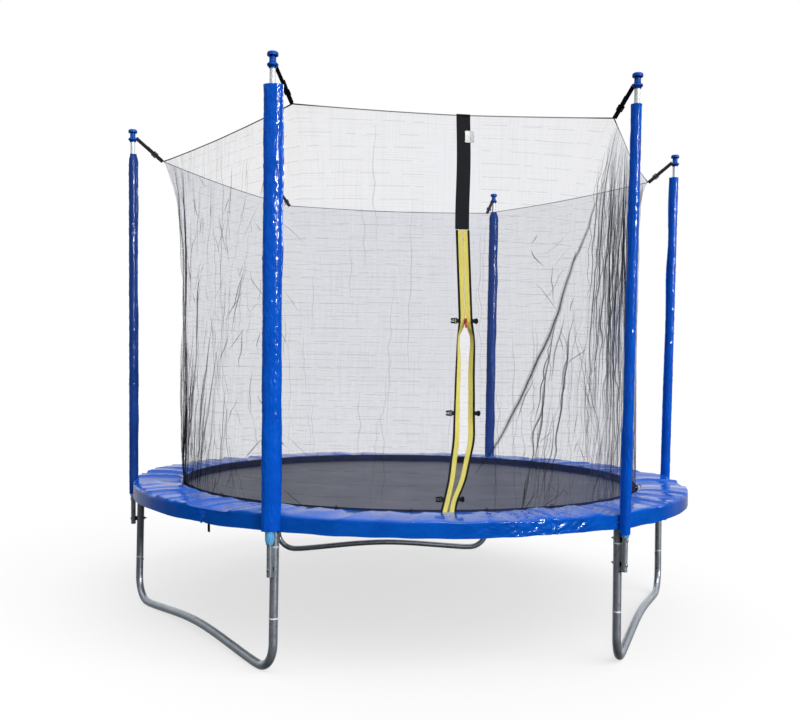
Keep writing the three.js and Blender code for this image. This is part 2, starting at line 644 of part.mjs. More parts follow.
function buckleGeometry(female) {
  const options = { depth: BUCKLE_THICKNESS, bevelEnabled: false, curveSegments: 6 };
  return new THREE.ExtrudeGeometry(buckleOutline(female), options).rotateX(Math.PI / 2);
}

// Assembly
const rail = railGeometry();
const extension = extensionGeometry();
const baseLeg = baseLegGeometry();
const poleLower = poleLowerGeometry();
const poleUpper = poleUpperGeometry();
const sleeve = sleeveGeometry();
const cap = capGeometry();
const strap = strapGeometry();

for (let n = 1; n <= POLE_COUNT; n++) {
  const corner = spoke(180 + (n - 1) * RAIL_SPAN);
  add(corner, `top_rail_${n}`, rail, steel()).position.z = RING_HEIGHT;
  add(corner, `leg_extension_${n}`, extension, steel()).position.x = RING_RADIUS;
  const pole = new THREE.Group();
  pole.position.set(POLE_FOOT_RADIUS, 0, POLE_FOOT_HEIGHT);
  pole.rotation.y = POLE_LEAN;
  corner.add(pole);
  add(pole, `pole_lower_${n}`, poleLower, steel());
  add(pole, `pole_upper_${n}`, poleUpper, steel());
  add(pole, `pole_sleeve_${n}`, sleeve, bluePvc());
  add(pole, `pole_cap_${n}`, cap, bluePlastic());
  add(pole, `net_strap_${n}`, strap, blackWebbing());
}

for (let n = 1; n <= LEG_COUNT; n++) {
  add(spoke(210 + (n - 1) * 2 * RAIL_SPAN), `base_leg_${n}`, baseLeg, steel());
}

add(trampoline, "spring_ring", springRingGeometry(), springSteel());
add(trampoline, "mat", matGeometry(), matWeave());
add(trampoline, "pad", padGeometry(), bluePvc());
add(trampoline, "net", netGeometry(), netMesh());
add(trampoline, "door_band", doorBandGeometry(), blackWebbing());
add(trampoline, "zip_tape_left", tapeGeometry(leftTape), yellowTape());
add(trampoline, "zip_tape_right", tapeGeometry(rightTape), yellowTape());

const slider = new THREE.Group();
slider.position.set(SLIDER_X, frontSurface(ZIP_SLIDER_HEIGHT), ZIP_SLIDER_HEIGHT);
slider.rotation.y = SLIDER_LEAN;
trampoline.add(slider);
add(slider, "zip_slider", sliderGeometry(), blackPlastic());
add(slider, "zip_pull", pullGeometry(), redPlastic());

for (const [level, height] of Object.entries(BUCKLE_LEVELS)) {
  for (const side of ["left", "right"]) {
    const female = side === "right";
    const tape = female ? rightTape : leftTape;
    const edge = tapeX(tape, height) + (female ? 1 : -1) * (TAPE_WIDTH / 2 - 2);
    const buckle = add(trampoline, `buckle_${side}_${level}`, buckleGeometry(female), blackPlastic());
    buckle.position.set(edge, frontSurface(height) - BUCKLE_OFFSET, height);
    if (!female) {
      buckle.rotation.z = Math.PI;
      buckle.position.y -= BUCKLE_THICKNESS;
    }
  }
}

export default trampoline;
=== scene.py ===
import math
from collections import namedtuple

import bmesh
import bpy
import numpy as np
from mathutils import Matrix, Vector


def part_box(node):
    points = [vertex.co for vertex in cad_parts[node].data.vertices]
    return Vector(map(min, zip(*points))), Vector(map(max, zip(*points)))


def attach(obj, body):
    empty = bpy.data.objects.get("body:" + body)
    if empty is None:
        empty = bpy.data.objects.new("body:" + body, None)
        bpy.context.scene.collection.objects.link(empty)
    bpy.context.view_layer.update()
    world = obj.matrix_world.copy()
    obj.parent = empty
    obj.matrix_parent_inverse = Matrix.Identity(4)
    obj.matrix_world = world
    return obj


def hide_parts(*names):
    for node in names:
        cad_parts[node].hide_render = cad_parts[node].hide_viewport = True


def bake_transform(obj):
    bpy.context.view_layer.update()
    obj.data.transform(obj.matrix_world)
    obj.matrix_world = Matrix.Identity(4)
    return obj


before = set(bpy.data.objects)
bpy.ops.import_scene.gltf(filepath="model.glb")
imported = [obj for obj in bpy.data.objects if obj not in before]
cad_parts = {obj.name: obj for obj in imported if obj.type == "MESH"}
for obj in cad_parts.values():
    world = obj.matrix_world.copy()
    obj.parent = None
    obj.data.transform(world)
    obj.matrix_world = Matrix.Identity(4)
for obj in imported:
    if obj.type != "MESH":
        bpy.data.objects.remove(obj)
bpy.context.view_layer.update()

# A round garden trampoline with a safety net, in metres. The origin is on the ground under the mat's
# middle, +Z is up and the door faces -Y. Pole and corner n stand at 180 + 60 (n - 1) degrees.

# Sizes from the frame
PAD_LOW, PAD_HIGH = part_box("pad")
MAT_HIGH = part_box("mat")[1]
NET_LOW, NET_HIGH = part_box("net")
SLEEVE_LOW, SLEEVE_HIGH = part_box("pole_sleeve_1")
ROUND_SIDES = 72
PAD_OUTER = PAD_HIGH.y / math.cos(math.pi / ROUND_SIDES)
MAT_RADIUS = MAT_HIGH.x / math.cos(math.pi / ROUND_SIDES)
MAT_TOP = MAT_HIGH.z
PAD_TOP = PAD_HIGH.z
FLAP_BOTTOM = PAD_LOW.z
NET_BOTTOM = NET_LOW.z
NET_TOP = NET_HIGH.z
NET_CORNER = NET_HIGH.x - 0.0015

# Driving dimensions that the frame's boxes don't give directly
POLE_COUNT = 6
SPAN = 360 / POLE_COUNT
RING_RADIUS = 1.502
RING_HEIGHT = 0.640
LEG_TUBE = 0.019
POLE_TUBE = 0.0127
POLE_FOOT = Vector((1.540, 0, 0.424))
POLE_TOP = Vector((1.582, 0, 2.611))
POLE_LENGTH = (POLE_TOP - POLE_FOOT).length
POLE_LEAN = math.atan2(POLE_TOP.x - POLE_FOOT.x, POLE_TOP.z - POLE_FOOT.z)
SOCKET_BOTTOM = 0.545
BASE_TOP = 0.244
PAD_INNER = 1.269
PAD_THICKNESS = 0.020
NET_BOTTOM_RADIUS = 1.262
CAP_LENGTH = 0.070
WAIST = 0.0145
DOOR_ANGLE = -90

CAMERA_PLACE = Vector((-0.7149, -5.1136, 1.2940))
CAMERA_YAW = 0.1263
CAMERA_PITCH = 0.0115
CAMERA_ROLL = 0.0146
CAMERA_LENS = 40.29


def make_camera():
    """The camera looks almost along +Y, a little to the right and up, and is rolled by a degree."""
    ahead = Vector((math.sin(CAMERA_YAW), math.cos(CAMERA_YAW), math.tan(CAMERA_PITCH))).normalized()
    level = Vector((math.cos(CAMERA_YAW), -math.sin(CAMERA_YAW), 0))
    upright = level.cross(ahead)
    right = level * math.cos(CAMERA_ROLL) + upright * math.sin(CAMERA_ROLL)
    up = upright * math.cos(CAMERA_ROLL) - level * math.sin(CAMERA_ROLL)
    data = bpy.data.cameras.new("camera")
    data.sensor_width = 36
    data.lens = CAMERA_LENS
    camera = bpy.data.objects.new("camera", data)
    turn = Matrix((right, up, -ahead)).transposed().to_4x4()
    camera.matrix_world = Matrix.Translation(CAMERA_PLACE) @ turn
    bpy.context.scene.collection.objects.link(camera)
    bpy.context.scene.camera = camera


make_camera()


# ---------------------------------------------------------------- mesh helpers

def smooth_noise(seed, across, along, count=22):
    """A smooth random function of two distances with typical wavelengths across and along. It is about
    -2 to 2, and the same each run."""
    rng = np.random.default_rng(seed)
    turn_u = rng.normal(0, 2 * math.pi / across, count)
    turn_v = rng.normal(0, 2 * math.pi / along, count)
    start = rng.uniform(0, 2 * math.pi, count)

    def value(u, v):
        total = sum(np.sin(a * u + b * v + c) for a, b, c in zip(turn_u, turn_v, start))
        return total / math.sqrt(count / 2)

    return value


def ridges(value):
    """Sharp ridges where a noise value crosses zero: 0 in the hollows and 1 on a ridge."""
    return np.clip(1 - np.abs(value), 0, 1) ** 3


def fade(value, low, high):
    """0 below low, 1 above high and smooth between."""
    t = np.clip((value - low) / (high - low), 0, 1)
    return t * t * (3 - 2 * t)


class Shape:
    """Lofted skins gathered into one piece. UVs are distances in metres: U round or across, V along."""

    def __init__(self):
        self.points = []
        self.faces = []
        self.uvs = []
        self.slots = []
        self.weights = []
        self.size = 0

    def loft(self, rings, closed=True, capped=False, slot=0, weight=None):
        """A skin through rings of equally many points: an array of stations, points and xyz. weight is
        one number for each point, kept as the attribute "bunch"."""
        rings = np.asarray(rings, float)
        count, sides = rings.shape[:2]
        middle = rings[count // 2]
        steps = np.linalg.norm(np.roll(middle, -1, axis=0) - middle, axis=1)
        u = np.concatenate([[0], np.cumsum(steps)])
        v = np.concatenate([[0], np.cumsum(np.linalg.norm(np.diff(rings.mean(axis=1), axis=0), axis=1))])
        columns = np.arange(sides if closed else sides - 1)
        nexts = (columns + 1) % sides
        for i in range(count - 1):
            here = self.size + i * sides
            quads = np.stack([here + columns, here + nexts, here + sides + nexts, here + sides + columns], 1)
            self.faces.extend(quads.tolist())
            for j in columns:
                self.uvs += [u[j], v[i], u[j + 1], v[i], u[j + 1], v[i + 1], u[j], v[i + 1]]
            self.slots += [slot] * len(columns)
        if capped:
            self.cap(self.size + np.arange(sides)[::-1], slot)
            self.cap(self.size + (count - 1) * sides + np.arange(sides), slot)
        self.points.append(rings.reshape(-1, 3))
        self.weights.append(np.zeros(count * sides) if weight is None else np.asarray(weight).ravel())
        self.size += count * sides

    def cap(self, corners, slot):
        self.faces.append(corners.tolist())
        self.uvs += [0.0] * (2 * len(corners))
        self.slots.append(slot)

    def spin(self, profile, sides, matrix, capped=True, slot=0):
        """A body of revolution about the matrix's Z, from [radius, height] pairs."""
        self.loft(placed(turned_profile(profile, sides), matrix), capped=capped, slot=slot)

    def strap(self, path, across, outward, width, thickness, matrix):
        """A flat strap along a path, placed by a matrix."""
        self.loft(placed(ribbon_rings(path, across, outward, width, thickness), matrix), capped=True)

    def plate(self, outline, thickness, bevel, matrix):
        """A flat plate with softened edges, placed by a matrix."""
        points, faces = plate(outline, thickness, bevel)
        for face in faces:
            self.faces.append([self.size + i for i in face])
            for i in face:
                self.uvs += [points[i][0] + 0.37 * points[i][1], points[i][2] + 0.53 * points[i][1]]
            self.slots.append(0)
        self.points.append(np.array([matrix @ Vector(p) for p in points]))
        self.weights.append(np.zeros(len(points)))
        self.size += len(points)

    def build(self, name, materials, smooth_angle=40, outward=True):
        mesh = bpy.data.meshes.new(name)
        mesh.from_pydata(np.concatenate(self.points).tolist(), [], self.faces)
        layer = mesh.uv_layers.new(name="metres")
        layer.data.foreach_set("uv", self.uvs)
        for one in materials if isinstance(materials, (list, tuple)) else [materials]:
            mesh.materials.append(one)
        mesh.polygons.foreach_set("material_index", self.slots)
        bunch_and_shade = mesh.attributes.new("bunch_and_shade", "FLOAT", "POINT")
        bunch_and_shade.data.foreach_set("value", np.concatenate(self.weights).astype(np.float32))
        if outward:
            work = bmesh.new()
            work.from_mesh(mesh)
            bmesh.ops.recalc_face_normals(work, faces=work.faces)
            work.to_mesh(mesh)
            work.free()
        mesh.polygons.foreach_set("use_smooth", [True] * len(mesh.polygons))
        mesh.set_sharp_from_angle(angle=math.radians(smooth_angle))
        mesh.update()
        obj = bpy.data.objects.new(name, mesh)
        bpy.context.scene.collection.objects.link(obj)
        return obj

    def finish(self, name, materials, replaced=(), body="frame", smooth_angle=40, outward=True):
        """Builds the piece. It rides on a body, takes its finish from a slot and stands for CAD nodes."""
        obj = self.build(name, materials, smooth_angle, outward)
        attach(obj, body)
        if replaced:
            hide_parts(*replaced)
        return obj


def around(angle, middle):
    """Degrees from a direction, -180 to 180."""
    return (angle - middle + 180) % 360 - 180


def turned(degrees):
    return Matrix.Rotation(math.radians(degrees), 4, "Z")


def corner_angle(n):
    return 180 + (n - 1) * SPAN


def pole_frame(n):
    """The frame of pole n: Z runs up the pole from its foot, and X points away from the mat."""
    return turned(corner_angle(n)) @ Matrix.Translation(POLE_FOOT) @ Matrix.Rotation(POLE_LEAN, 4, "Y")


def placed(points, matrix):
    """Points of any array shape, moved by a 4 x 4 matrix."""
    points = np.asarray(points, float)
    m = np.array(matrix, float)
    return points @ m[:3, :3].T + m[:3, 3]


def swept(path, radius, sides, level=None):
    """Round sections along a path. radius is one number or one for each point. The sections don't twist."""
    path = np.asarray(path, float)
    radius = np.broadcast_to(np.asarray(radius, float), (len(path),))
    along = np.gradient(path, axis=0)
    along /= np.linalg.norm(along, axis=1)[:, None]
    guide = np.array(level if level is not None else (0.0, 0.0, 1.0))
    if level is None and abs(along[0] @ guide) > 0.9:
        guide = np.array((1.0, 0.0, 0.0))
    rings = []
    turn = np.linspace(0, 2 * math.pi, sides, endpoint=False)
    for point, direction, reach in zip(path, along, radius):
        across = np.cross(guide, direction)
        across /= np.linalg.norm(across)
        up = np.cross(direction, across)
        guide = up if level is None else guide
        rings.append(point + reach * (np.outer(np.cos(turn), across) + np.outer(np.sin(turn), up)))
    return np.array(rings)


def turned_profile(profile, sides):
    """Rings of a body of revolution about Z, from [radius, height] pairs."""
    turn = np.linspace(0, 2 * math.pi, sides, endpoint=False)
    return np.array([[(r * math.cos(a), r * math.sin(a), z) for a in turn] for r, z in profile])


def plate(outline, thickness, bevel):
    """Points and faces of a flat plate with softened edges: an outline in X and Z, thick along Y."""
    work = bmesh.new()
    corners = [work.verts.new((x, -thickness / 2, z)) for x, z in outline]
    front = work.faces.new(corners)
    back = bmesh.ops.extrude_face_region(work, geom=[front])
    moved = [v for v in back["geom"] if isinstance(v, bmesh.types.BMVert)]
    bmesh.ops.translate(work, vec=(0, thickness, 0), verts=moved)
    bmesh.ops.bevel(work, geom=list(work.edges), offset=bevel, segments=2, affect="EDGES")
    work.verts.index_update()
    points = [tuple(v.co) for v in work.verts]
    faces = [[v.index for v in f.verts] for f in work.faces]
    work.free()
    return points, faces


def rectangle(width, height, x=0.0, z=0.0):
    """The outline of a rectangle round the point x, z."""
    w = width / 2
    h = height / 2
    return [(x - w, z - h), (x + w, z - h), (x + w, z + h), (x - w, z + h)]


def ribbon_rings(path, across, outward, width, thickness):
    """A flat strap along a path: closed four-cornered sections from unit vectors across and outward."""
    path = np.asarray(path, float)
    side = np.asarray(across, float) * width / 2
    lift = np.asarray(outward, float) * thickness / 2
    rings = np.stack([path - side - lift, path + side - lift, path + side + lift, path - side + lift], 1)
    return rings


# ---------------------------------------------------------------- materials

class Nodes:
    """Short calls that add shader nodes to one tree."""

    def __init__(self, tree):
        self.tree = tree

    def put(self, socket, value):
        """Links an output to the socket, or sets a plain value on it."""
        if isinstance(value, bpy.types.NodeSocket):
            self.tree.links.new(value, socket)
        else:
            socket.default_value = value

    def node(self, kind, settings=None, **inputs):
        made = self.tree.nodes.new("ShaderNode" + kind)
        for key, value in (settings or {}).items():
            setattr(made, key, value)
        for key, value in inputs.items():
            self.put(made.inputs[key.replace("_", " ")], value)
        return made

    def ramp(self, factor, low, high, start=0.0, end=1.0):
        """factor from low..high to start..end."""
        made = self.node("MapRange", Value=factor, From_Min=low, From_Max=high, To_Min=start, To_Max=end)
        return made.outputs["Result"]

    def math(self, operation, first, second=0.0):
        made = self.node("Math", {"operation": operation})
        self.put(made.inputs[0], first)
        self.put(made.inputs[1], second)
        return made.outputs[0]


class Finish(Nodes):
    """A material with a Principled surface."""

    def __init__(self, name, color, roughness, metallic=0.0, **inputs):
        self.material = bpy.data.materials.new(name)
        self.material.use_nodes = True
        super().__init__(self.material.node_tree)
        self.surface = self.tree.nodes["Principled BSDF"]
        self.surface.inputs["Base Color"].default_value = (*color, 1)
        self.surface.inputs["Roughness"].default_value = roughness
        self.surface.inputs["Metallic"].default_value = metallic
        for key, value in inputs.items():
            self.surface.inputs[key.replace("_", " ")].default_value = value
        self.material.diffuse_color = (*color, 1)

    def uv(self, scale=(1, 1, 1)):
        source = self.node("UVMap", {"uv_map": "metres"}).outputs["UV"]
        return self.node("Mapping", Vector=source, Scale=scale).outputs["Vector"]

    def place(self, scale=(1, 1, 1)):
        source = self.node("TexCoord").outputs["Object"]
        return self.node("Mapping", Vector=source, Scale=scale).outputs["Vector"]

    def noise(self, vector, scale, detail=3.0, roughness=0.5):
        made = self.node("TexNoise", Vector=vector, Scale=scale, Detail=detail, Roughness=roughness)
        return made.outputs["Fac"]

    def mix(self, factor, first, second):
        """Two colours, or two outputs, mixed by a factor."""
        made = self.node("Mix", {"data_type": "RGBA"})
        for socket, value in zip((0, 6, 7), (factor, first, second)):
            self.put(made.inputs[socket], (*value, 1) if isinstance(value, tuple) else value)
        return made.outputs[2]

    def color(self, output):
        self.put(self.surface.inputs["Base Color"], output)

    def rough(self, output):
        self.put(self.surface.inputs["Roughness"], output)

    def cloudy(self, scale, detail, first, second):
        """The colour drifts between two colours."""
        self.color(self.mix(self.noise(self.place(), scale, detail), first, second))

    def worn(self, scale, detail, low, high):
        """The roughness drifts between two values."""
        self.rough(self.ramp(self.noise(self.place(), scale, detail), 0.3, 0.7, low, high))

    def bump(self, height, distance, strength=1.0, under=None):
        made = self.node("Bump", Height=height, Distance=distance, Strength=strength)
        if under is not None:
            self.put(made.inputs["Normal"], under)
        self.put(self.surface.inputs["Normal"], made.outputs["Normal"])
        return made.outputs["Normal"]

    def weave(self, vector, pitch):
        """A plain weave: threads over and under each other, 0 to 1 high, with one thread per pitch."""
        split = self.node("SeparateXYZ", Vector=vector)
        turns = [self.math("MULTIPLY", split.outputs[axis], math.pi / pitch) for axis in "XY"]
        return self.ramp(self.math("MULTIPLY", *[self.math("SINE", turn) for turn in turns]), -1, 1)


def galvanised_steel(name, dull, bright, metallic):
    """Zinc-coated tube: cloudy spangle, fine drawing lines and duller patches."""
    steel = Finish(name, bright, 0.34, metallic)
    spangle = steel.node("TexVoronoi", Vector=steel.place(), Scale=110.0).outputs["Color"]
    grain = steel.node("RGBToBW", Color=spangle).outputs["Val"]
    cloud = steel.math("ADD", steel.noise(steel.place(), 26, 5), steel.ramp(grain, 0, 1, -0.12, 0.12))
    steel.color(steel.mix(cloud, dull, bright))
    steel.worn(60, 4, 0.26, 0.42)
    lines = steel.noise(steel.place((220, 220, 9)), 1.0, 2)
    steel.bump(lines, 0.0002, 0.3)
    return steel.material


def spring_steel():
    wire = Finish("spring_steel", (0.62, 0.64, 0.66), 0.3, 0.95)
    wire.cloudy(160, 4, (0.44, 0.46, 0.48), (0.72, 0.74, 0.76))
    wire.worn(160, 4, 0.22, 0.42)
    return wire.material


def vinyl(name, deep, bright, crumple):
    """Glossy blue PVC sheet: crumples as wide along U and V as given, cloudy colour, a woven backing."""
    sheet = Finish(name, bright, 0.2, 0.0, IOR=1.5, Specular_IOR_Level=0.45)
    patches = sheet.noise(sheet.place(), 7, 4, 0.6)
    sheet.color(sheet.mix(sheet.ramp(patches, 0.3, 0.72), deep, bright))
    sheet.worn(24, 3, 0.10, 0.18)
    creases = sheet.noise(sheet.uv((1 / crumple[0], 1 / crumple[1], 1)), 1.0, 2, 0.45)
    folds = sheet.math("ABSOLUTE", sheet.math("SUBTRACT", creases, 0.5))
    first = sheet.bump(folds, 0.008, 0.7)
    sheet.bump(sheet.weave(sheet.uv(), 0.0014), 0.00004, 0.3, first)
    return sheet.material


def blue_foam():
    """Pale blue foam tube, with its cells showing."""
    foam = Finish("blue_foam", (0.10, 0.42, 0.80), 0.8)
    cells = foam.node("TexVoronoi", Vector=foam.place(), Scale=620.0).outputs["Distance"]
    foam.cloudy(30, 3, (0.07, 0.34, 0.70), (0.17, 0.52, 0.88))
    foam.bump(cells, 0.0009, 0.8)
    return foam.material


def moulded(name, color, pale, roughness, gloss=0.35):
    """Moulded plastic with a fine spark-eroded grain and slightly uneven colour."""
    plastic = Finish(name, color, roughness, Specular_IOR_Level=gloss)
    plastic.cloudy(40, 4, color, pale)
    plastic.worn(180, 3, roughness * 0.8, roughness * 1.3)
    plastic.bump(plastic.noise(plastic.place(), 900, 2), 0.0002, 0.4)
    return plastic.material


def webbing(name, color, pale):
    """Woven strap: ribs across it, with the high threads painted paler as a painted gloss."""
    strap = Finish(name, color, 0.62, 0.0, Specular_IOR_Level=0.12, Sheen_Weight=0.03, Sheen_Roughness=0.4)
    ribs = strap.weave(strap.uv(), 0.0011)
    strap.color(strap.mix(ribs, color, pale))
    strap.bump(ribs, 0.0005, 0.9)
    return strap.material


def mat_fabric():
    """Woven black polypropylene tapes, a little glossy, paler where feet have rubbed them."""
    mat = Finish("mat_fabric", (0.055, 0.058, 0.066), 0.42, 0.0, IOR=1.5)
    tapes = mat.weave(mat.uv(), 0.0024)
    rubbed = mat.noise(mat.uv((3.0, 3.0, 1)), 1.0, 4, 0.6)
    dark = mat.mix(tapes, (0.034, 0.036, 0.043), (0.056, 0.059, 0.068))
    pale = mat.mix(tapes, (0.048, 0.051, 0.058), (0.076, 0.080, 0.088))
    mat.color(mat.mix(mat.ramp(rubbed, 0.35, 0.7), dark, pale))
    mat.rough(mat.ramp(rubbed, 0.3, 0.7, 0.36, 0.55))
    mat.bump(tapes, 0.0007, 0.7)
    return mat.material


# The darkest colour of bunched net: painted shade in its folds, hems and streaks.
PAINTED_FOLD_SHADE = (0.012, 0.014, 0.022)


def net_mesh(name, deep, pale, streaked):
    """Fine knitted mesh: threads 2.5 mm apart with gaps between. The bunching attribute closes the gaps,
    all over in folds and hems, and in fine upright streaks where the cloth hangs loose, and it darkens the
    colour there towards near-black as painted shade."""
    net = Finish(name, deep, 0.75, 0.0, Specular_IOR_Level=0.2)
    net.material.blend_method = "HASHED"
    split = net.node("SeparateXYZ", Vector=net.uv())
    turn = 2 * math.pi / 0.0025
    threads = [net.math("SINE", net.math("MULTIPLY", split.outputs[axis], turn)) for axis in ("X", "Y")]
    thread = net.math("MAXIMUM", *threads)
    open_mesh = net.ramp(thread, -1, 1, 0.02, 0.21)
    bunch_and_shade = net.node("Attribute", {"attribute_name": "bunch_and_shade"}).outputs["Fac"]
    if streaked:
        level = net.ramp(net.noise(net.uv((4, 190, 1)), 1.0, 2), 0.5, 0.8, 0, 0.09)
        upright = net.ramp(net.noise(net.uv((210, 5, 1)), 1.0, 2), 0.5, 0.8, 0, 0.05)
        open_mesh = net.math("ADD", open_mesh, net.math("MAXIMUM", level, upright))
        streaks = net.noise(net.uv((80, 2.6, 1)), 1.0, 4, 0.65)
        bunch_and_shade = net.math("MULTIPLY", bunch_and_shade, net.ramp(streaks, 0.48, 0.64, 0.06, 1.0))
    closed = net.math("SUBTRACT", 1.0, open_mesh)
    cover = net.math("ADD", open_mesh, net.math("MULTIPLY", closed, bunch_and_shade))
    net.put(net.surface.inputs["Alpha"], cover)
    cloth = net.mix(net.noise(net.place(), 3, 3), deep, pale)
    # Painted shade: the more the cloth bunches, the nearer its colour goes to black.
    shaded = net.mix(bunch_and_shade, (0, 0, 0), PAINTED_FOLD_SHADE)
    net.color(net.mix(bunch_and_shade, cloth, shaded))
    return net.material


def zip_tape_cloth():
    """Yellow tape with a black binding along its outer edge. U runs from the zip outward over the front,
    and on over the edge and back again behind."""
    tape = Finish("zip_tape_cloth", (0.80, 0.70, 0.14), 0.7, 0.0, Specular_IOR_Level=0.2)
    across = tape.node("SeparateXYZ", Vector=tape.uv()).outputs["X"]
    ribs = tape.weave(tape.uv(), 0.0009)
    yellow = tape.mix(ribs, (0.60, 0.50, 0.08), (0.84, 0.75, 0.20))
    black = tape.mix(ribs, (0.003, 0.003, 0.004), (0.012, 0.012, 0.015))
    from_edge = tape.math("ABSOLUTE", tape.math("SUBTRACT", across, TAPE_WIDTH + TAPE_THICKNESS / 2))
    edge = tape.ramp(from_edge, BINDING_WIDTH - 0.0002, BINDING_WIDTH + 0.0002, 1, 0)
    tape.color(tape.mix(edge, yellow, black))
    tape.bump(ribs, 0.0004, 0.8)
    return tape.material


def tag_cloth():
    """Blank white satin tag."""
    tag = Finish("tag_cloth", (0.82, 0.82, 0.80), 0.5, 0.0, Sheen_Weight=0.3)
    threads = tag.weave(tag.uv(), 0.0006)
    tag.color(tag.mix(threads, (0.72, 0.72, 0.70), (0.86, 0.86, 0.84)))
    tag.bump(threads, 0.0002, 0.6)
    return tag.material


TAPE_WIDTH = 0.029
TAPE_THICKNESS = 0.0022
BINDING_WIDTH = 0.0109

STEEL = galvanised_steel("galvanised_steel", (0.42, 0.47, 0.54), (0.64, 0.69, 0.76), 0.78)
# A paler, barely metallic copy of the galvanised steel for the upper pole tubes: its whiteness is a painted
# reflection of the bright room.
PALE_REFLECTION_STEEL = galvanised_steel("pale_reflection_steel", (0.78, 0.82, 0.86), (0.92, 0.95, 0.98), 0.30)
# Near-white, barely metallic steel: a painted highlight on the lips of the leg joints.
JOINT_LIP_HIGHLIGHT = galvanised_steel("joint_lip_highlight", (0.86, 0.87, 0.88), (0.96, 0.96, 0.97), 0.10)
SPRING = spring_steel()
PAD_VINYL = vinyl("pad_vinyl", (0.001, 0.070, 0.42), (0.002, 0.100, 0.54), (0.70, 0.240))
# Two copies of one sleeve vinyl: the darker, greyer copy is painted shade for the sleeves on the left and at
# the back, which the lamps light less.
SLEEVE_VINYL = vinyl("sleeve_vinyl", (0.001, 0.070, 0.47), (0.002, 0.105, 0.64), (0.022, 0.055))
SHADED_SLEEVE_VINYL = vinyl("shaded_sleeve_vinyl", (0.008, 0.040, 0.21), (0.014, 0.060, 0.29), (0.022, 0.055))
FOAM = blue_foam()
CAP_PLASTIC = moulded("cap_plastic", (0.002, 0.065, 0.40), (0.004, 0.090, 0.50), 0.30, 0.18)
BLACK_PLASTIC = moulded("black_plastic", (0.003, 0.003, 0.004), (0.007, 0.007, 0.009), 0.40, 0.14)
RED_PLASTIC = moulded("red_plastic", (0.55, 0.035, 0.020), (0.66, 0.06, 0.035), 0.35)
TAPE_COIL = moulded("tape_coil", (0.62, 0.53, 0.10), (0.74, 0.65, 0.18), 0.45)
SLIDER_METAL = moulded("slider_metal", (0.30, 0.035, 0.025), (0.42, 0.06, 0.045), 0.3)
BLACK_WEBBING = webbing("black_webbing", (0.004, 0.004, 0.006), (0.019, 0.020, 0.026))
MAT_FABRIC = mat_fabric()
NET_MESH = net_mesh("net_mesh", (0.030, 0.052, 0.170), (0.055, 0.082, 0.230), True)
# Near-black net for the fold strips, the packing lines and the hems: on the folds and lines its darkness is
# painted shade.
NET_FOLD_SHADE_AND_HEMS = net_mesh("net_fold_shade_and_hems", (0.006, 0.007, 0.013), (0.016, 0.018, 0.030), False)
TAPE_CLOTH = zip_tape_cloth()
TAG_CLOTH = tag_cloth()


# ---------------------------------------------------------------- steel frame

TUBE_SIDES = 32
CHAMFER = 0.0012
TUBE_WALL = 0.0015
JOINT_GAP = 0.0008
SPIGOT_DEGREES = 2.4
SPIGOT_RADIUS = LEG_TUBE - 0.0021
RAIL_START = -4
RAIL_GAP_DEGREES = 0.06
SCREW_OFFSET = 0.018


def leg_frame(n):
    """The upright leg beside pole n: Z runs up its middle from the ground, and X points away from the mat."""
    return turned(corner_angle(n)) @ Matrix.Translation((RING_RADIUS, 0, 0))


def sideways(matrix, height):
    """The frame at this height on the matrix's Z, tipped so that its own Z points towards the mat."""
    return matrix @ Matrix.Translation((0, 0, height)) @ Matrix.Rotation(-math.pi / 2, 4, "Y")


def upright_tube(shape, low, high, radius, matrix, bore=0.0):
    """A straight tube on Z with chamfered ends. With a bore its lower end is open to that depth."""
    edge = radius - CHAMFER
    profile = [[edge, low], [radius, low + CHAMFER], [radius, high - CHAMFER], [edge, high]]
    if bore:
        inside = edge - TUBE_WALL
        profile = [[inside, low + bore], [inside, low], *profile]
    shape.spin(profile, TUBE_SIDES, matrix)


def bent_tube(shape, path, radius, level, matrix=None):
    """A tube along a path, with chamfered ends."""
    radii = np.full(len(path), radius)
    radii[[0, -1]] -= CHAMFER
    rings = swept(path, radii, TUBE_SIDES, level)
    shape.loft(placed(rings, matrix) if matrix else rings, capped=True)


def make_rail(n):
    """One arc of the top ring with its spigot, and the socket that takes a leg."""
    shape = Shape()
    start = corner_angle(n) + RAIL_START
    end = start + SPAN - RAIL_GAP_DEGREES
    wide = np.linspace(start, end, 40)
    narrow = np.linspace(end, end + SPIGOT_DEGREES, 4)
    for degrees, radius in ((wide, LEG_TUBE), (narrow, SPIGOT_RADIUS)):
        angles = np.radians(degrees)
        circle = np.stack([np.cos(angles), np.sin(angles), np.zeros(len(angles))], 1) * RING_RADIUS
        bent_tube(shape, circle + (0, 0, RING_HEIGHT), radius, (0, 0, 1))
    socket = leg_frame(n)
    upright_tube(shape, SOCKET_BOTTOM, RING_HEIGHT, LEG_TUBE, socket)
    weld = [[LEG_TUBE + 0.0002, RING_HEIGHT - 0.026], [LEG_TUBE + 0.002, RING_HEIGHT - 0.019],
            [LEG_TUBE + 0.001, RING_HEIGHT - 0.010]]
    shape.spin(weld, TUBE_SIDES, socket, capped=False)
    shape.finish(f"rail_{n}", STEEL, [f"top_rail_{n}"])


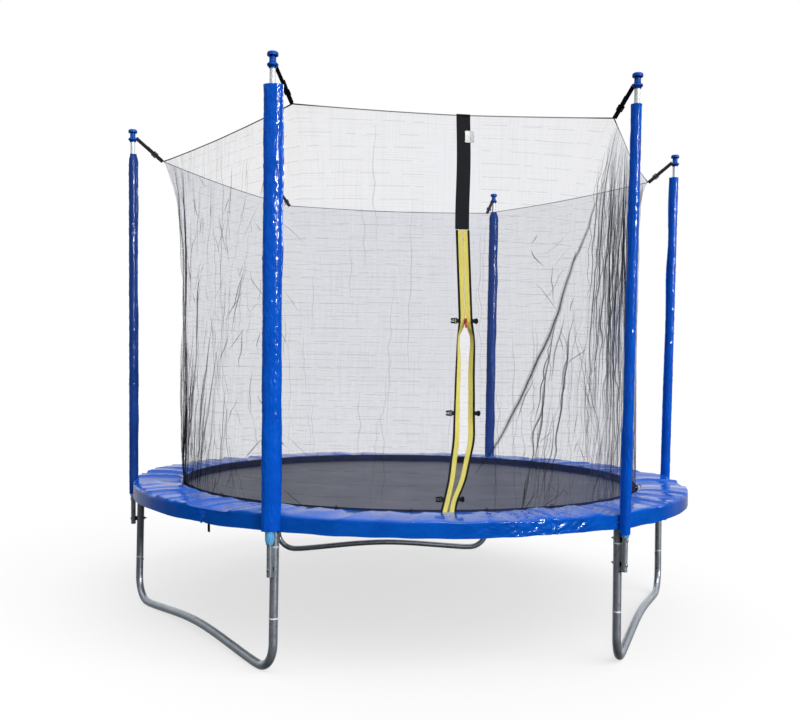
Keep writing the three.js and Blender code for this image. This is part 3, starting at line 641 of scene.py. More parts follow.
def make_extension(n):
    """The straight tube of a leg, with the screws that pin it to the socket and to the base leg, and the
    turned-out lips of their joints, painted near-white as a highlight."""
    shape = Shape()
    leg = leg_frame(n)
    upright_tube(shape, BASE_TOP + JOINT_GAP, SOCKET_BOTTOM - JOINT_GAP, LEG_TUBE, leg)
    head = [[0.0001, LEG_TUBE + 0.0035], [0.003, LEG_TUBE + 0.003], [0.0046, LEG_TUBE + 0.001],
            [0.0046, LEG_TUBE - 0.001]]
    for height in (BASE_TOP - SCREW_OFFSET, SOCKET_BOTTOM + SCREW_OFFSET):
        shape.spin(head, 14, sideways(leg, height))
    for height in (BASE_TOP, SOCKET_BOTTOM):
        lip = [[LEG_TUBE + out, height + up]
               for out, up in ((-0.001, -0.0030), (0.0010, -0.0024), (0.0010, 0.0024), (-0.001, 0.0030))]
        # The lips take the second slot, the painted highlight.
        shape.spin(lip, TUBE_SIDES, leg, capped=False, slot=1)
    shape.finish(f"leg_tube_{n}", [STEEL, JOINT_LIP_HIGHLIGHT], [f"leg_extension_{n}"])


HALF_CHORD = RING_RADIUS * math.sin(math.radians(SPAN / 2))
APOTHEM = RING_RADIUS * math.cos(math.radians(SPAN / 2))
BEND_RADIUS = 0.120
FOOT_LENGTH = 0.040
BASE_RISE = 0.045


def base_half():
    """Points down one upright of a base leg, round the bend, over the foot and up to the middle."""
    bend_top = LEG_TUBE + BEND_RADIUS
    turn = np.linspace(0, math.pi / 2, 16)
    across = HALF_CHORD - BEND_RADIUS * (1 - np.cos(turn))
    bend = np.stack([across, bend_top - BEND_RADIUS * np.sin(turn)], 1)
    foot_end = HALF_CHORD - BEND_RADIUS - FOOT_LENGTH
    reach = np.linspace(foot_end, 0, 26)
    climb = LEG_TUBE + BASE_RISE * fade(foot_end - reach, -0.18, foot_end)
    climb -= climb[0] - LEG_TUBE
    upright = [[HALF_CHORD, BASE_TOP], [HALF_CHORD, BASE_TOP - CHAMFER]]
    return np.concatenate([upright, bend, np.stack([reach, climb], 1)])


def make_base_leg(n):
    """Both halves of a base leg in one tube."""
    half = base_half()
    line = np.concatenate([half, half[-2::-1] * (-1, 1)])
    path = np.stack([np.full(len(line), APOTHEM), line[:, 0], line[:, 1]], 1)
    shape = Shape()
    bent_tube(shape, path, LEG_TUBE, (1, 0, 0), turned(210 + (n - 1) * 2 * SPAN))
    shape.finish(f"base_tube_{n}", STEEL, [f"base_leg_{n}"])


# ---------------------------------------------------------------- poles

POLE_JOINT = 1.040
SPACER_HEIGHTS = (0.030, 0.139)


def make_pole(n):
    """The lower and upper tube of a pole. The foot is cut square and open."""
    lower = Shape()
    upright_tube(lower, 0, POLE_JOINT, POLE_TUBE, pole_frame(n), bore=0.05)
    lower.finish(f"pole_tube_lower_{n}", STEEL, [f"pole_lower_{n}"])
    upper = Shape()
    top = POLE_LENGTH - CAP_LENGTH + 0.028
    upright_tube(upper, POLE_JOINT + 0.0004, top, POLE_TUBE, pole_frame(n))
    # The upper tube's pale steel is a painted reflection.
    upper.finish(f"pole_tube_upper_{n}", PALE_REFLECTION_STEEL, [f"pole_upper_{n}"])


def make_fixings(n):
    """Two black spacers between pole and leg, each with a bolt and a nut on the leg's inner side."""
    spacers = Shape()
    bolts = Shape()
    for height in SPACER_HEIGHTS:
        leg_axis = RING_RADIUS - POLE_FOOT.x - height * math.sin(POLE_LEAN)
        gap = -leg_axis - LEG_TUBE - POLE_TUBE
        outline = rectangle(gap + 0.010, 0.022, -POLE_TUBE - gap / 2)
        spacers.plate(outline, 0.016, 0.002, pole_frame(n) @ Matrix.Translation((0, 0, height)))
        bolt = sideways(pole_frame(n), height)
        inner = -leg_axis + LEG_TUBE
        shank = [[0.003, -POLE_TUBE], [0.003, inner + 0.014]]
        nut = [[0.0062, inner + 0.001], [0.0068, inner + 0.002], [0.0068, inner + 0.0055],
               [0.0062, inner + 0.0065]]
        washer = [[0.0085, inner - 0.0005], [0.0085, inner + 0.001]]
        head = [[0.0075, -POLE_TUBE + 0.001], [0.0072, -POLE_TUBE - 0.001], [0.005, -POLE_TUBE - 0.003],
                [0.0005, -POLE_TUBE - 0.004]]
        for profile, sides in ((shank, 12), (nut, 6), (washer, 20), (head, 18)):
            bolts.spin(profile, sides, bolt)
    spacers.finish(f"spacers_{n}", BLACK_PLASTIC, smooth_angle=30)
    bolts.finish(f"bolts_{n}", SPRING, smooth_angle=30)


def make_cap(n):
    """The moulded cap: collar, flange, waist and a domed head with a rounded rim."""
    head = 0.024
    collar = 0.0165
    dome_foot = 0.060
    dome_rise = CAP_LENGTH - dome_foot
    turn = np.linspace(0, math.pi / 2, 12)
    dome = [[max(head * math.cos(a) ** 0.5, 0.0002), dome_foot + dome_rise * math.sin(a) ** 0.9]
            for a in turn]
    cove = [[WAIST + 0.004 * (1 - math.sin(a)), 0.021 + 0.004 * (1 - math.cos(a))] for a in turn[::3]]
    neck = [[WAIST + 0.005 * (1 - math.cos(a)), 0.046 + 0.006 * math.sin(a)] for a in turn[::3]]
    foot = [[POLE_TUBE + 0.0004, 0.004], [POLE_TUBE + 0.0004, 0], [collar - 0.0008, 0], [collar, 0.001]]
    flange = [[collar, 0.004], [collar + 0.003, 0.0065], [head - 0.002, 0.0090], [head, 0.0120],
              [head, 0.0165], [head - 0.0025, 0.0195]]
    rim = [[head - 0.004, 0.0515], [head - 0.002, 0.0505], [head, 0.0520]]
    shape = Shape()
    matrix = pole_frame(n) @ Matrix.Translation((0, 0, POLE_LENGTH - CAP_LENGTH))
    shape.spin([*foot, *flange, *cove, *neck, *rim, *dome], 40, matrix)
    shape.finish(f"cap_{n}", CAP_PLASTIC, [f"pole_cap_{n}"], smooth_angle=50)


# ---------------------------------------------------------------- pole sleeves

SLEEVE_STATIONS = 150
FOAM_RADIUS = 0.0195
COVER_GAP = 0.0015
COVER_RADIUS = 0.024  # the loose cover's mean radius
CREASE_HEIGHT = 0.0016
SLEEVE_CRINKLE = 0.0013
FIN_HALF_TURN = 0.10  # half of the angle that the fin's root takes up, in radians
SLEEVE_FOOT = SLEEVE_LOW.z - POLE_FOOT.z
SLEEVE_HEAD = SLEEVE_HIGH.z - POLE_FOOT.z
TAPER = 0.045  # how far below its head a sleeve begins to narrow
# Sleeves that take the brighter vinyl; the others take the darker copy as painted shade.
LIT_SIDE_SLEEVES = (2, 3, 4)


# How one sleeve's cover hangs: its lower end above the ground, the direction of its spare cloth in degrees,
# how far it stands off the foam on that side and on the opposite one, its sewn fin, and how much its head
# is drawn in.
Cover = namedtuple("Cover", "foot direction slack back_slack fin drawn_in", defaults=[0.0])

COVERS = {
    1: Cover(0.592, -10, 0.000, 0.000, 0.008, 0.33),
    2: Cover(0.616, -4, 0.019, 0.015, 0.006),
    3: Cover(0.590, 176, 0.001, 0.000, 0.005),
    4: Cover(0.590, 174, 0.003, 0.001, 0.008),
    5: Cover(0.590, -20, 0.010, 0.008, 0.006, 0.33),
    6: Cover(0.590, 170, 0.008, 0.004, 0.008, 0.25),
}


def cover_rings(n, stations):
    """Sections of a sleeve's cover: a flattened tube round the foam with a sewn fin along one side."""
    cover = COVERS[n]
    facing = math.radians(cover.direction - corner_angle(n))
    swing = smooth_noise(40 + n, 1, 0.9)
    width = smooth_noise(50 + n, 1, 0.45)
    crinkle = smooth_noise(60 + n, 0.030, 0.045, 40)
    crease = smooth_noise(80 + n, 0.018, 0.10, 40)
    turn = np.linspace(FIN_HALF_TURN, 2 * math.pi - FIN_HALF_TURN, 64)
    snug = FOAM_RADIUS + COVER_GAP
    share = np.linspace(0, 1, 6)[1:]
    rings = []
    for z in stations:
        lean = facing + 0.06 * swing(0.0, z)
        ahead = cover.slack * (1 + 0.06 * width(0.0, z))
        behind = cover.back_slack * (1 + 0.06 * width(3.0, z))
        head = 1 - cover.drawn_in * fade(z, SLEEVE_HEAD - TAPER, SLEEVE_HEAD)
        reach = snug + np.where(np.cos(turn) > 0, ahead, behind)
        body = head * np.stack([reach * np.cos(turn), snug * np.sin(turn)], 1)
        arc = turn * COVER_RADIUS
        rough = CREASE_HEIGHT * ridges(crease(arc, z)) + SLEEVE_CRINKLE * ridges(crinkle(arc + 0.3 * z, z))
        outward = body / np.linalg.norm(body, axis=1)[:, None]
        body = body + outward * rough[:, None]
        root = (body[0, 0] + body[-1, 0]) / 2
        spare = head * cover.fin * (1 + 0.2 * width(1.0, z))
        curl = 0.20 * swing(2.0, z) * spare * share ** 2
        half = np.linspace(body[0, 1] * 0.6, 0.0008, len(share))
        one_side = np.stack([root + spare * share, curl - half], 1)
        other_side = np.stack([root + spare * share, curl + half], 1)
        ring = np.concatenate([body, one_side, other_side[::-1]])
        rotation = np.array([[math.cos(lean), math.sin(lean)], [-math.sin(lean), math.cos(lean)]])
        rings.append(np.column_stack([ring @ rotation, np.full(len(ring), z)]))
    return np.array(rings)


def make_sleeve(n):
    """The foam tube and its loose glossy cover."""
    matrix = pole_frame(n)
    foot = SLEEVE_FOOT - (0.014 if n == 2 else 0)
    shoulder = FOAM_RADIUS * (1 - COVERS[n].drawn_in)
    taper = [[POLE_TUBE + 0.001, foot], [FOAM_RADIUS - 0.004, foot], [FOAM_RADIUS, foot + 0.02],
             [FOAM_RADIUS, SLEEVE_HEAD - TAPER], [shoulder, SLEEVE_HEAD - 0.002],
             [POLE_TUBE + 0.001, SLEEVE_HEAD - 0.001]]
    foam = Shape()
    foam.spin(taper, 36, matrix, capped=False)
    foam.finish(f"sleeve_foam_{n}", FOAM)
    cover = Shape()
    stations = np.linspace(COVERS[n].foot - POLE_FOOT.z, SLEEVE_HEAD, SLEEVE_STATIONS)
    cover.loft(placed(cover_rings(n, stations), matrix))
    # The darker vinyl on the other sleeves is painted shade.
    skin = SLEEVE_VINYL if n in LIT_SIDE_SLEEVES else SHADED_SLEEVE_VINYL
    piece = cover.finish(f"sleeve_cover_{n}", skin, [f"pole_sleeve_{n}"], smooth_angle=60)


# ---------------------------------------------------------------- padded rim

SEAM_START = -74.5
SEAM_WIDTH = 0.009
SEAM_DEPTH = 0.010
FLAP_SEAM_DEPTH = 0.006
CRUMPLE_REACH = 0.16  # how far the crumples reach along the rim from a seam
SWELL_HEIGHT = 0.0025
FOLD_HEIGHT = 0.0065
RIDGE_HEIGHT = 0.0110
CRUMPLE_HEIGHT = 0.0040
CRINKLE_HEIGHT = 0.0030
DENT_DEPTH = 0.005  # where a pole presses on the rim
DENT_WIDTH = 0.035
RIM_DROP = 0.003  # how far the rim's edges lie below the middle of its top
PAD_STATIONS = 1400


def section_line():
    """The rim's section from its inner foot over the top, down the flap and back inside: pairs of radius
    and height."""
    turn = np.linspace(0, math.pi / 2, 6)
    inner_soft = 0.008
    outer_soft = 0.009
    shoulder = PAD_TOP - RIM_DROP
    floor = PAD_TOP - PAD_THICKNESS
    inner = [[PAD_INNER + inner_soft * (1 - math.cos(a)), PAD_TOP - inner_soft * (1 - math.sin(a)) - RIM_DROP]
             for a in turn]
    across = zip(np.linspace(0.06, 0.94, 14), np.linspace(PAD_INNER + 0.014, PAD_OUTER - 0.014, 14))
    top = [[r, shoulder + 0.006 * math.sin(math.pi * share)] for share, r in across]
    outer = [[PAD_OUTER - outer_soft * (1 - math.sin(a)), shoulder - outer_soft * (1 - math.cos(a))]
             for a in turn]
    flap = [[PAD_OUTER, z] for z in np.linspace(PAD_TOP - 0.018, FLAP_BOTTOM, 15)]
    inside = [[PAD_OUTER - 0.0025, FLAP_BOTTOM + 0.0005], [PAD_OUTER - 0.003, floor - 0.004]]
    under = [[r, floor] for r in np.linspace(PAD_OUTER - 0.008, PAD_INNER + 0.002, 8)]
    return np.array([[PAD_INNER, floor + 0.002], *inner, *top, *outer, *flap, *inside, *under])


def distance_from(angle, first):
    """Distance along the rim from the nearest of six places, the first of them at this angle."""
    return np.radians((angle - first + SPAN / 2) % SPAN - SPAN / 2) * PAD_OUTER


def pad_rings():
    """Sections of the rim: folds that run across its top, most at the sides of the ring, a crumpled edge
    in front, a valley at each seam and a dent at each pole."""
    radius, height = section_line().T
    angle = np.linspace(0, 360, PAD_STATIONS, endpoint=False)[:, None]
    turn = np.radians(angle)
    along = turn * PAD_OUTER
    over = np.concatenate([[0], np.cumsum(np.hypot(np.diff(radius), np.diff(height)))])[None, :]
    on_top = fade(height, PAD_TOP - 0.012, PAD_TOP - 0.004) * fade(radius, PAD_INNER, PAD_INNER + 0.03)
    on_flap = fade(radius, PAD_OUTER - 0.004, PAD_OUTER - 0.001) * fade(-height, -PAD_TOP, -PAD_TOP + 0.02)
    to_side = np.abs(np.cos(turn))
    to_front = fade(-np.sin(turn), 0.6, 0.95)
    to_seam = distance_from(angle, SEAM_START)
    at_door = np.exp(-(around(angle, SEAM_START) / 14) ** 2)
    near_seam = np.maximum(0.45 * np.exp(-(to_seam / CRUMPLE_REACH) ** 2), at_door)
    seam = np.exp(-(to_seam / SEAM_WIDTH) ** 2)
    swell = smooth_noise(3, 0.5, 0.5, 16)(1.5 * np.cos(turn), 1.5 * np.sin(turn))
    folds = smooth_noise(4, 0.42, 1.60, 30)(along + 0.25 * over, over)
    slanted = smooth_noise(5, 0.070, 0.075, 40)(along + over, over)
    crinkle = smooth_noise(6, 0.048, 0.022, 40)(along + 1.5 * over, over)
    lift = SWELL_HEIGHT * swell
    lift = lift + (0.12 + 0.88 * to_side) * (FOLD_HEIGHT * folds + RIDGE_HEIGHT * ridges(folds))
    lift = lift + CRUMPLE_HEIGHT * np.maximum(near_seam, 0.3 * to_front) * ridges(slanted)
    lift = lift - SEAM_DEPTH * seam
    crumpled = np.maximum(near_seam, 0.25 * to_front)
    sway = 0.0010 * swell + crumpled * (0.0012 * slanted - 0.0030)
    sway = sway + CRINKLE_HEIGHT * crumpled * ridges(crinkle)
    sway = sway - FLAP_SEAM_DEPTH * seam
    dent = DENT_DEPTH * np.exp(-(distance_from(angle, 0) / DENT_WIDTH) ** 2)
    hem = fade(-height, -FLAP_BOTTOM - 0.03, -FLAP_BOTTOM)
    r = radius + on_flap * sway - dent * fade(radius, PAD_OUTER - 0.05, PAD_OUTER)
    z = height + on_top * lift + hem * 0.0020 * swell
    return np.stack([r * np.cos(turn), r * np.sin(turn), z], 2)


def make_pad():
    shape = Shape()
    rings = pad_rings()
    shape.loft(np.concatenate([rings, rings[:1]]))
    pad = shape.finish("rim_pad", PAD_VINYL, ["pad"], smooth_angle=60, outward=False)


def make_ties():
    """Black straps that tie the rim to the ring beside its seams, with loose tails below the flap."""
    shape = Shape()
    count = 8
    for seam in SEAM_START - SPAN * np.arange(1, 5):
        for shift, drop, width in ((-0.2, 0.048, 0.015), (-2.3, 0.014, 0.012)):
            x = RING_RADIUS - LEG_TUBE - 0.004 + 0.006 * np.sin(np.linspace(0, 2.2, count))
            z = np.linspace(PAD_TOP - PAD_THICKNESS - 0.002, FLAP_BOTTOM - drop, count)
            path = np.stack([x, np.zeros(count), z], 1)
            shape.strap(path, (0, 1, 0), (1, 0, 0), width, 0.0016, turned(seam + shift))
    shape.finish("rim_ties", BLACK_WEBBING)


# ---------------------------------------------------------------- mat and springs

SPRING_COUNT = 54
SPRING_LEVEL = MAT_TOP - 0.004
SPRING_START = MAT_RADIUS + 0.014
SPRING_END = RING_RADIUS - LEG_TUBE - 0.006
SPRING_WIRE = 0.0016
HOOK_RADIUS = 0.006
BOUNCE_EDGE = SPRING_END + 0.006


def follow_bounce(obj, replaced=(), fall_off=None):
    """Hides the CAD nodes that the piece stands for and bakes its placement into its points. It works out a
    weight by distance from the middle, for bending between the frame and the mat, but nothing uses it, so the
    piece doesn't bend.
    """
    if replaced:
        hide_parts(*replaced)
    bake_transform(obj)
    points = np.array([v.co for v in obj.data.vertices])
    weight = fade(BOUNCE_EDGE - np.hypot(points[:, 0], points[:, 1]), 0, BOUNCE_EDGE)
    if fall_off:
        weight = weight * fall_off(points[:, 2])


def make_mat():
    """The woven disc, with UVs seen from above so that its weave runs straight."""
    wave = smooth_noise(21, 0.5, 0.5)
    r = np.linspace(0.0005, MAT_RADIUS - 0.001, 60)[:, None]
    turn = np.linspace(0, 2 * math.pi, 145)[:-1]
    x = r * np.cos(turn)
    y = r * np.sin(turn)
    z = MAT_TOP - 0.002 + 0.0009 * wave(x, y)
    shape = Shape()
    shape.loft(np.stack([x, y, z], 2))
    mat = shape.build("bounce_mat", MAT_FABRIC, 80, outward=False)
    corners = np.array([mat.data.vertices[loop.vertex_index].co for loop in mat.data.loops])
    mat.data.uv_layers["metres"].data.foreach_set("uv", corners[:, :2].ravel())
    follow_bounce(mat, ["mat"])


def make_mat_hem():
    """The black band sewn round the mat's edge."""
    outline = [(-0.040, 0.0002), (-0.001, 0.0006), (0.0005, -0.002), (-0.001, -0.0046), (-0.040, -0.0042),
               (-0.0405, -0.002), (-0.040, 0.0002)]
    hem = Shape()
    hem.loft(turned_profile([[MAT_RADIUS + out, MAT_TOP + up] for out, up in outline], 216))
    follow_bounce(hem.build("mat_hem", BLACK_WEBBING))


def spring_path():
    """One spring along +X: an inner hook, the close coil, and an outer hook that dips into the ring."""
    coil_radius = 0.0085
    turns = 26
    turn = np.linspace(0, 2 * math.pi * turns, turns * 9)
    x = np.linspace(SPRING_START + 0.022, SPRING_END - 0.024, len(turn))
    swell = np.minimum(1, np.minimum(turn, turn[-1] - turn) / (2 * math.pi) * 0.7 + 0.3)
    coil = np.stack([x, coil_radius * swell * np.sin(turn), coil_radius * swell * np.cos(turn)], 1)
    hook = np.linspace(0, math.pi * 1.3, 9)
    drop = HOOK_RADIUS * np.cos(hook) - 0.004
    inner = np.stack([SPRING_START + 0.004 - HOOK_RADIUS * np.sin(hook), hook * 0, drop], 1)
    outer = np.stack([SPRING_END - HOOK_RADIUS + HOOK_RADIUS * np.sin(hook), hook * 0, drop], 1)
    return np.concatenate([inner[::-1], coil, outer])


def triangle_path():
    """The wire triangle on the mat's hem that one spring hooks into."""
    corner = SPRING_START + 0.002
    wide = 0.020
    inner = MAT_RADIUS - 0.006
    half = [[corner, 0, 0], [inner + 0.004, wide, 0], [inner, wide * 0.9, 0]]
    return np.array(half + [[x, -y, z] for x, y, z in half[::-1]])


def make_springs():
    """The extension springs and their triangles."""
    spring = swept(spring_path(), SPRING_WIRE, 5)
    triangle = swept(triangle_path(), 0.002, 6, (0, 0, 1))
    springs = Shape()
    triangles = Shape()
    for i in range(SPRING_COUNT):
        matrix = turned((i + 0.5) * 360 / SPRING_COUNT) @ Matrix.Translation((0, 0, SPRING_LEVEL))
        springs.loft(placed(spring, matrix), capped=True)
        triangles.loft(placed(triangle, matrix))
    follow_bounce(springs.build("coil_springs", SPRING, 60), ["spring_ring"])
    follow_bounce(triangles.build("hem_triangles", SPRING, 60))


# ---------------------------------------------------------------- net

# The right front corner is strapped closer to its pole than the others.
CLOSE_CORNER = 3
CLOSER = 0.040


def near_corner(angle):
    """1 at a corner of the net and 0 in a panel's middle."""
    return np.abs(angle % SPAN - SPAN / 2) / (SPAN / 2)


def net_radius(angle, height):
    """The net's middle surface: the mat's circle at its foot, and a hexagon pulled to the corners on top."""
    rise = np.clip((height - NET_BOTTOM) / (NET_TOP - NET_BOTTOM), 0, 1)
    top = NET_CORNER * math.cos(math.radians(SPAN / 2)) / np.cos(np.radians(angle % SPAN - SPAN / 2))
    corner = near_corner(angle)
    pull = rise * (1 - 0.7 * corner) + 0.7 * corner * rise ** 10
    drawn = np.clip(1 - np.abs(around(angle, corner_angle(CLOSE_CORNER))) / (SPAN / 2), 0, 1)
    return NET_BOTTOM_RADIUS + (top - NET_BOTTOM_RADIUS) * pull + CLOSER * drawn * rise ** 6


def front_surface(height):
    """Y of the net's middle surface at the door."""
    return -net_radius(DOOR_ANGLE, height)


# The middles of the two zip tapes at each height: parted below the slider, side by side above it.
ZIP_HEIGHTS = (0.652, 0.720, 0.818, 0.993, 1.255, 1.430, 1.515, 1.917, 2.442)
LEFT_TAPE = (-0.032, -0.014, 0.007, 0.027, 0.034, 0.0405, 0.0485, 0.0305, 0.0305)
RIGHT_TAPE = (0.014, 0.022, 0.062, 0.098, 0.094, 0.0945, 0.0815, 0.0635, 0.0635)
BEND_REACH = 0.030
NET_UNDER_TAPE = 0.003
HEM_SAG = 0.014
SLIDER_HEIGHT = ZIP_HEIGHTS[6]
ZIP_TOP = ZIP_HEIGHTS[7]


def tape_x(tape, height):
    """The tape's middle, with its bends rounded off over 60 mm."""
    steps = np.linspace(-BEND_REACH, BEND_REACH, 7)
    return np.mean([np.interp(height + step, ZIP_HEIGHTS, tape) for step in steps], axis=0)


def door_edge(tape, side, heights):
    """The angle of the net's cut edge beside a tape."""
    x = tape_x(tape, heights) + side * (TAPE_WIDTH / 2 - NET_UNDER_TAPE)
    return np.degrees(np.arctan2(front_surface(heights), x))


def net_angles(heights, columns):
    """Angles round the net from the right zip tape to the left one, by the share of the way in columns."""
    first = door_edge(RIGHT_TAPE, 1, heights)
    last = door_edge(LEFT_TAPE, -1, heights) + 360
    return first + (last - first) * columns


def hem_height(angle):
    """The net's top edge, which sags a little between the corners."""
    return NET_TOP - HEM_SAG * (1 - near_corner(angle) ** 2)


def net_point(angle, height, proud=0.0):
    r = net_radius(angle, height) + proud
    turn = np.radians(angle)
    return np.stack([r * np.cos(turn), r * np.sin(turn), height + 0 * r], -1)


FOLDS_BROAD = smooth_noise(71, 0.16, 1.3, 30)
FOLDS_FINE = smooth_noise(72, 0.055, 0.45, 40)
FOLDS_PATCH = smooth_noise(73, 0.13, 0.30, 30)
BROAD_BILLOW = 0.0075
FINE_BILLOW = 0.0028
FOLD_PROUD = 0.0010  # how far a fold lies off the sheet
NET_MEAN_RADIUS = 1.30


def billow(angle, height):
    """How far the loose cloth stands off its smooth surface."""
    arc = np.radians(angle) * NET_MEAN_RADIUS
    loose = 0.35 + 0.65 * near_corner(angle) ** 2
    door = fade(np.abs(around(angle, DOOR_ANGLE)), 3, 9)
    held = fade(height, NET_BOTTOM, NET_BOTTOM + 0.15) * fade(-height, -NET_TOP, -NET_TOP + 0.12)
    swell = BROAD_BILLOW * FOLDS_BROAD(arc, height) + FINE_BILLOW * FOLDS_FINE(arc, height)
    return swell * loose * door * held


def looseness(angle, rise):
    """How much the cloth is streaked by hanging loose: most past the two front corners, and at its foot. The
    streaks thicken the net and darken its colour, painted shade of its fine wrinkles.
    """
    angle = angle % 360
    past_left = fade(-angle, -245, -185) * fade(angle, 150, 180)
    past_right = fade(angle, 301, 306)
    patch = fade(FOLDS_PATCH(np.radians(angle) * NET_BOTTOM_RADIUS, rise * 1.8), -0.4, 1.4)
    left = past_left * (0.85 * (1 - rise) ** 4 + 0.22 * fade(rise, 0.80, 1.0) + 0.20 * patch)
    right = past_right * (0.68 - 0.25 * fade(angle, 320, 345))
    beside_right = fade(angle, 282, 300) * 0.35 * (1 - rise) ** 1.5
    return np.maximum(np.maximum(left, right), np.maximum(beside_right, 0.04))


def make_net_cloth(shape):
    rows = np.linspace(0, 1, 80)[:, None]
    angle = net_angles(NET_BOTTOM + (NET_TOP - NET_BOTTOM) * rows, np.linspace(0, 1, 560)[None, :])
    height = NET_BOTTOM + (hem_height(angle) - NET_BOTTOM) * rows
    points = net_point(angle, height, billow(angle, height))
    shape.loft(points, closed=False, weight=looseness(angle, rows + 0 * angle))


def crease(shape, angles, heights, width, strength):
    """One fold: a narrow pinched ridge of doubled cloth along a line on the net, in the near-black fold net
    and darkened further by its weight: painted shade along the fold.
    """
    share = np.linspace(0, 1, len(angles))
    swell = np.sin(math.pi * np.clip(share, 0.02, 0.98)) ** 0.5
    down = np.gradient(heights)
    slant = down / np.maximum(np.hypot(down, np.radians(np.gradient(angles))), 1e-6)
    half = np.degrees(width / 2 * swell / NET_BOTTOM_RADIUS) / np.maximum(np.abs(slant), 0.35)
    base = billow(angles, heights) + FOLD_PROUD
    left = net_point(angles - half, heights, base)
    crest = net_point(angles, heights, base + 0.45 * width * swell)
    right = net_point(angles + half, heights, base)
    weight = min(1.0, 1.4 * strength) * swell
    soft = np.stack([0.3 * weight ** 2, weight, 0.3 * weight ** 2], 1)
    shape.loft(np.stack([left, crest, right], 1), closed=False, slot=1, weight=soft)


def wandering(rng, start, end, top, bottom, wobble):
    """A slightly crooked line down the net from angle start at height top to angle end at bottom."""
    count = max(5, int((top - bottom) / 0.03))
    share = np.linspace(0, 1, count)
    heights = top + (bottom - top) * share
    waves = smooth_noise(int(rng.integers(1 << 30)), 1, 0.22, 8)
    angles = start + (end - start) * share + wobble * waves(0.0, heights) * np.sin(math.pi * share) ** 0.5
    return angles, heights


def clear_of_door(angles):
    return np.min(np.abs(around(angles, DOOR_ANGLE))) > 5.5


def uneven(rng, limits, power):
    """A random value between two limits, most often near the lower one."""
    return limits[0] + (limits[1] - limits[0]) * rng.uniform() ** power


def fan(rng, count, tops, foot, gather, rises, lengths, widths, strengths):
    """Folds between two top angles that draw together towards the angle foot as they go down. Each is a
    start, an end, a top, a bottom, a width and a strength."""
    folds = []
    for _ in range(count):
        top_angle = rng.uniform(*tops)
        foot_angle = foot + (top_angle - foot) * gather + rng.normal(0, 2.5)
        top = rng.uniform(*rises)
        bottom = max(LOWEST_FOLD, top - rng.uniform(*lengths))
        start, end = np.interp([top, bottom], [NET_BOTTOM, NET_TOP], [foot_angle, top_angle])
        strength = uneven(rng, strengths, 2.5)
        folds.append((start, end, top, bottom, rng.uniform(*widths), strength))
    return folds


def scattered(rng, count, angles, heights, widths, strengths):
    """Short folds that lean either way, at random places between two angles and two heights."""
    folds = []
    for _ in range(count):
        start = rng.uniform(*angles)
        top = rng.uniform(*heights)
        length = rng.uniform(0.05, 0.22)
        slope = math.radians(rng.uniform(-55, 55))
        end = start + math.degrees(length * math.sin(slope) / NET_BOTTOM_RADIUS)
        bottom = max(LOWEST_FOLD, top - length * math.cos(slope))
        strength = uneven(rng, strengths, 1.6)
        folds.append((start, end, top, bottom, rng.uniform(*widths), strength))
    return folds


LOWEST_FOLD = NET_BOTTOM + 0.01
WHOLE = (NET_BOTTOM + 0.2, NET_TOP - 0.05)
LOW = (NET_BOTTOM + 0.15, NET_BOTTOM + 0.95)
HIGH = (NET_TOP - 0.30, NET_TOP - 0.02)


def all_folds(rng):
    """Folds fan down the left panel, crowd past the right corner and cross beside it. Behind they are few."""
    folds = fan(rng, 20, (182, 238), 196, 0.70, WHOLE, (0.15, 0.6), (0.004, 0.009), (0.06, 0.90))
    folds += fan(rng, 44, (184, 226), 192, 0.42, LOW, (0.3, 0.9), (0.006, 0.012), (0.25, 1.0))
    folds += fan(rng, 26, (182, 190), 186, 0.90, WHOLE, (0.3, 1.4), (0.006, 0.012), (0.25, 1.0))
    folds += fan(rng, 18, (190, 234), 214, -0.5, WHOLE, (0.2, 0.7), (0.004, 0.008), (0.15, 0.6))
    folds += scattered(rng, 140, (184, 236), (NET_BOTTOM + 0.1, NET_TOP - 0.12), (0.003, 0.007), (0.15, 1.0))
    folds += scattered(rng, 60, (286, 326), (NET_BOTTOM + 0.1, NET_TOP - 0.5), (0.003, 0.008), (0.10, 0.80))
    folds += fan(rng, 50, (300.5, 322), 304, 0.95, HIGH, (0.5, 1.6), (0.005, 0.010), (0.3, 1.0))
    folds += fan(rng, 90, (302, 330), 305, 0.95, WHOLE, (0.3, 1.3), (0.005, 0.010), (0.20, 1.0))
    folds += fan(rng, 20, (296, 306), 284, 0.30, LOW, (0.3, 0.9), (0.005, 0.011), (0.15, 1.0))
    folds += fan(rng, 16, (280, 300), 300, -0.6, LOW, (0.3, 0.8), (0.004, 0.008), (0.10, 0.6))
    folds += fan(rng, 8, (247, 262), 252, 0.80, WHOLE, (0.2, 0.8), (0.003, 0.006), (0.04, 0.12))
    folds += fan(rng, 10, (276, 292), 284, 0.80, LOW, (0.2, 0.8), (0.004, 0.008), (0.08, 0.30))
    for corner in (0, 60, 120):
        tops = (corner - 6, corner + 6)
        folds += fan(rng, 6, tops, corner, 1.4, WHOLE, (0.3, 1.2), (0.004, 0.007), (0.02, 0.09))
    return folds


def make_creases(shape):
    rng = np.random.default_rng(5)
    for start, end, top, bottom, width, strength in all_folds(rng):
        angles, heights = wandering(rng, start, end, top, bottom, 0.30)
        if clear_of_door(angles):
            crease(shape, angles, heights, width, strength)


# The longest fold runs from the front right corner down to the door's foot.
LONG_FOLD = ((-56.1, 2.197), (-63.5, 1.774), (-70.4, 1.386), (-79.4, 1.006), (-84.8, 0.844))


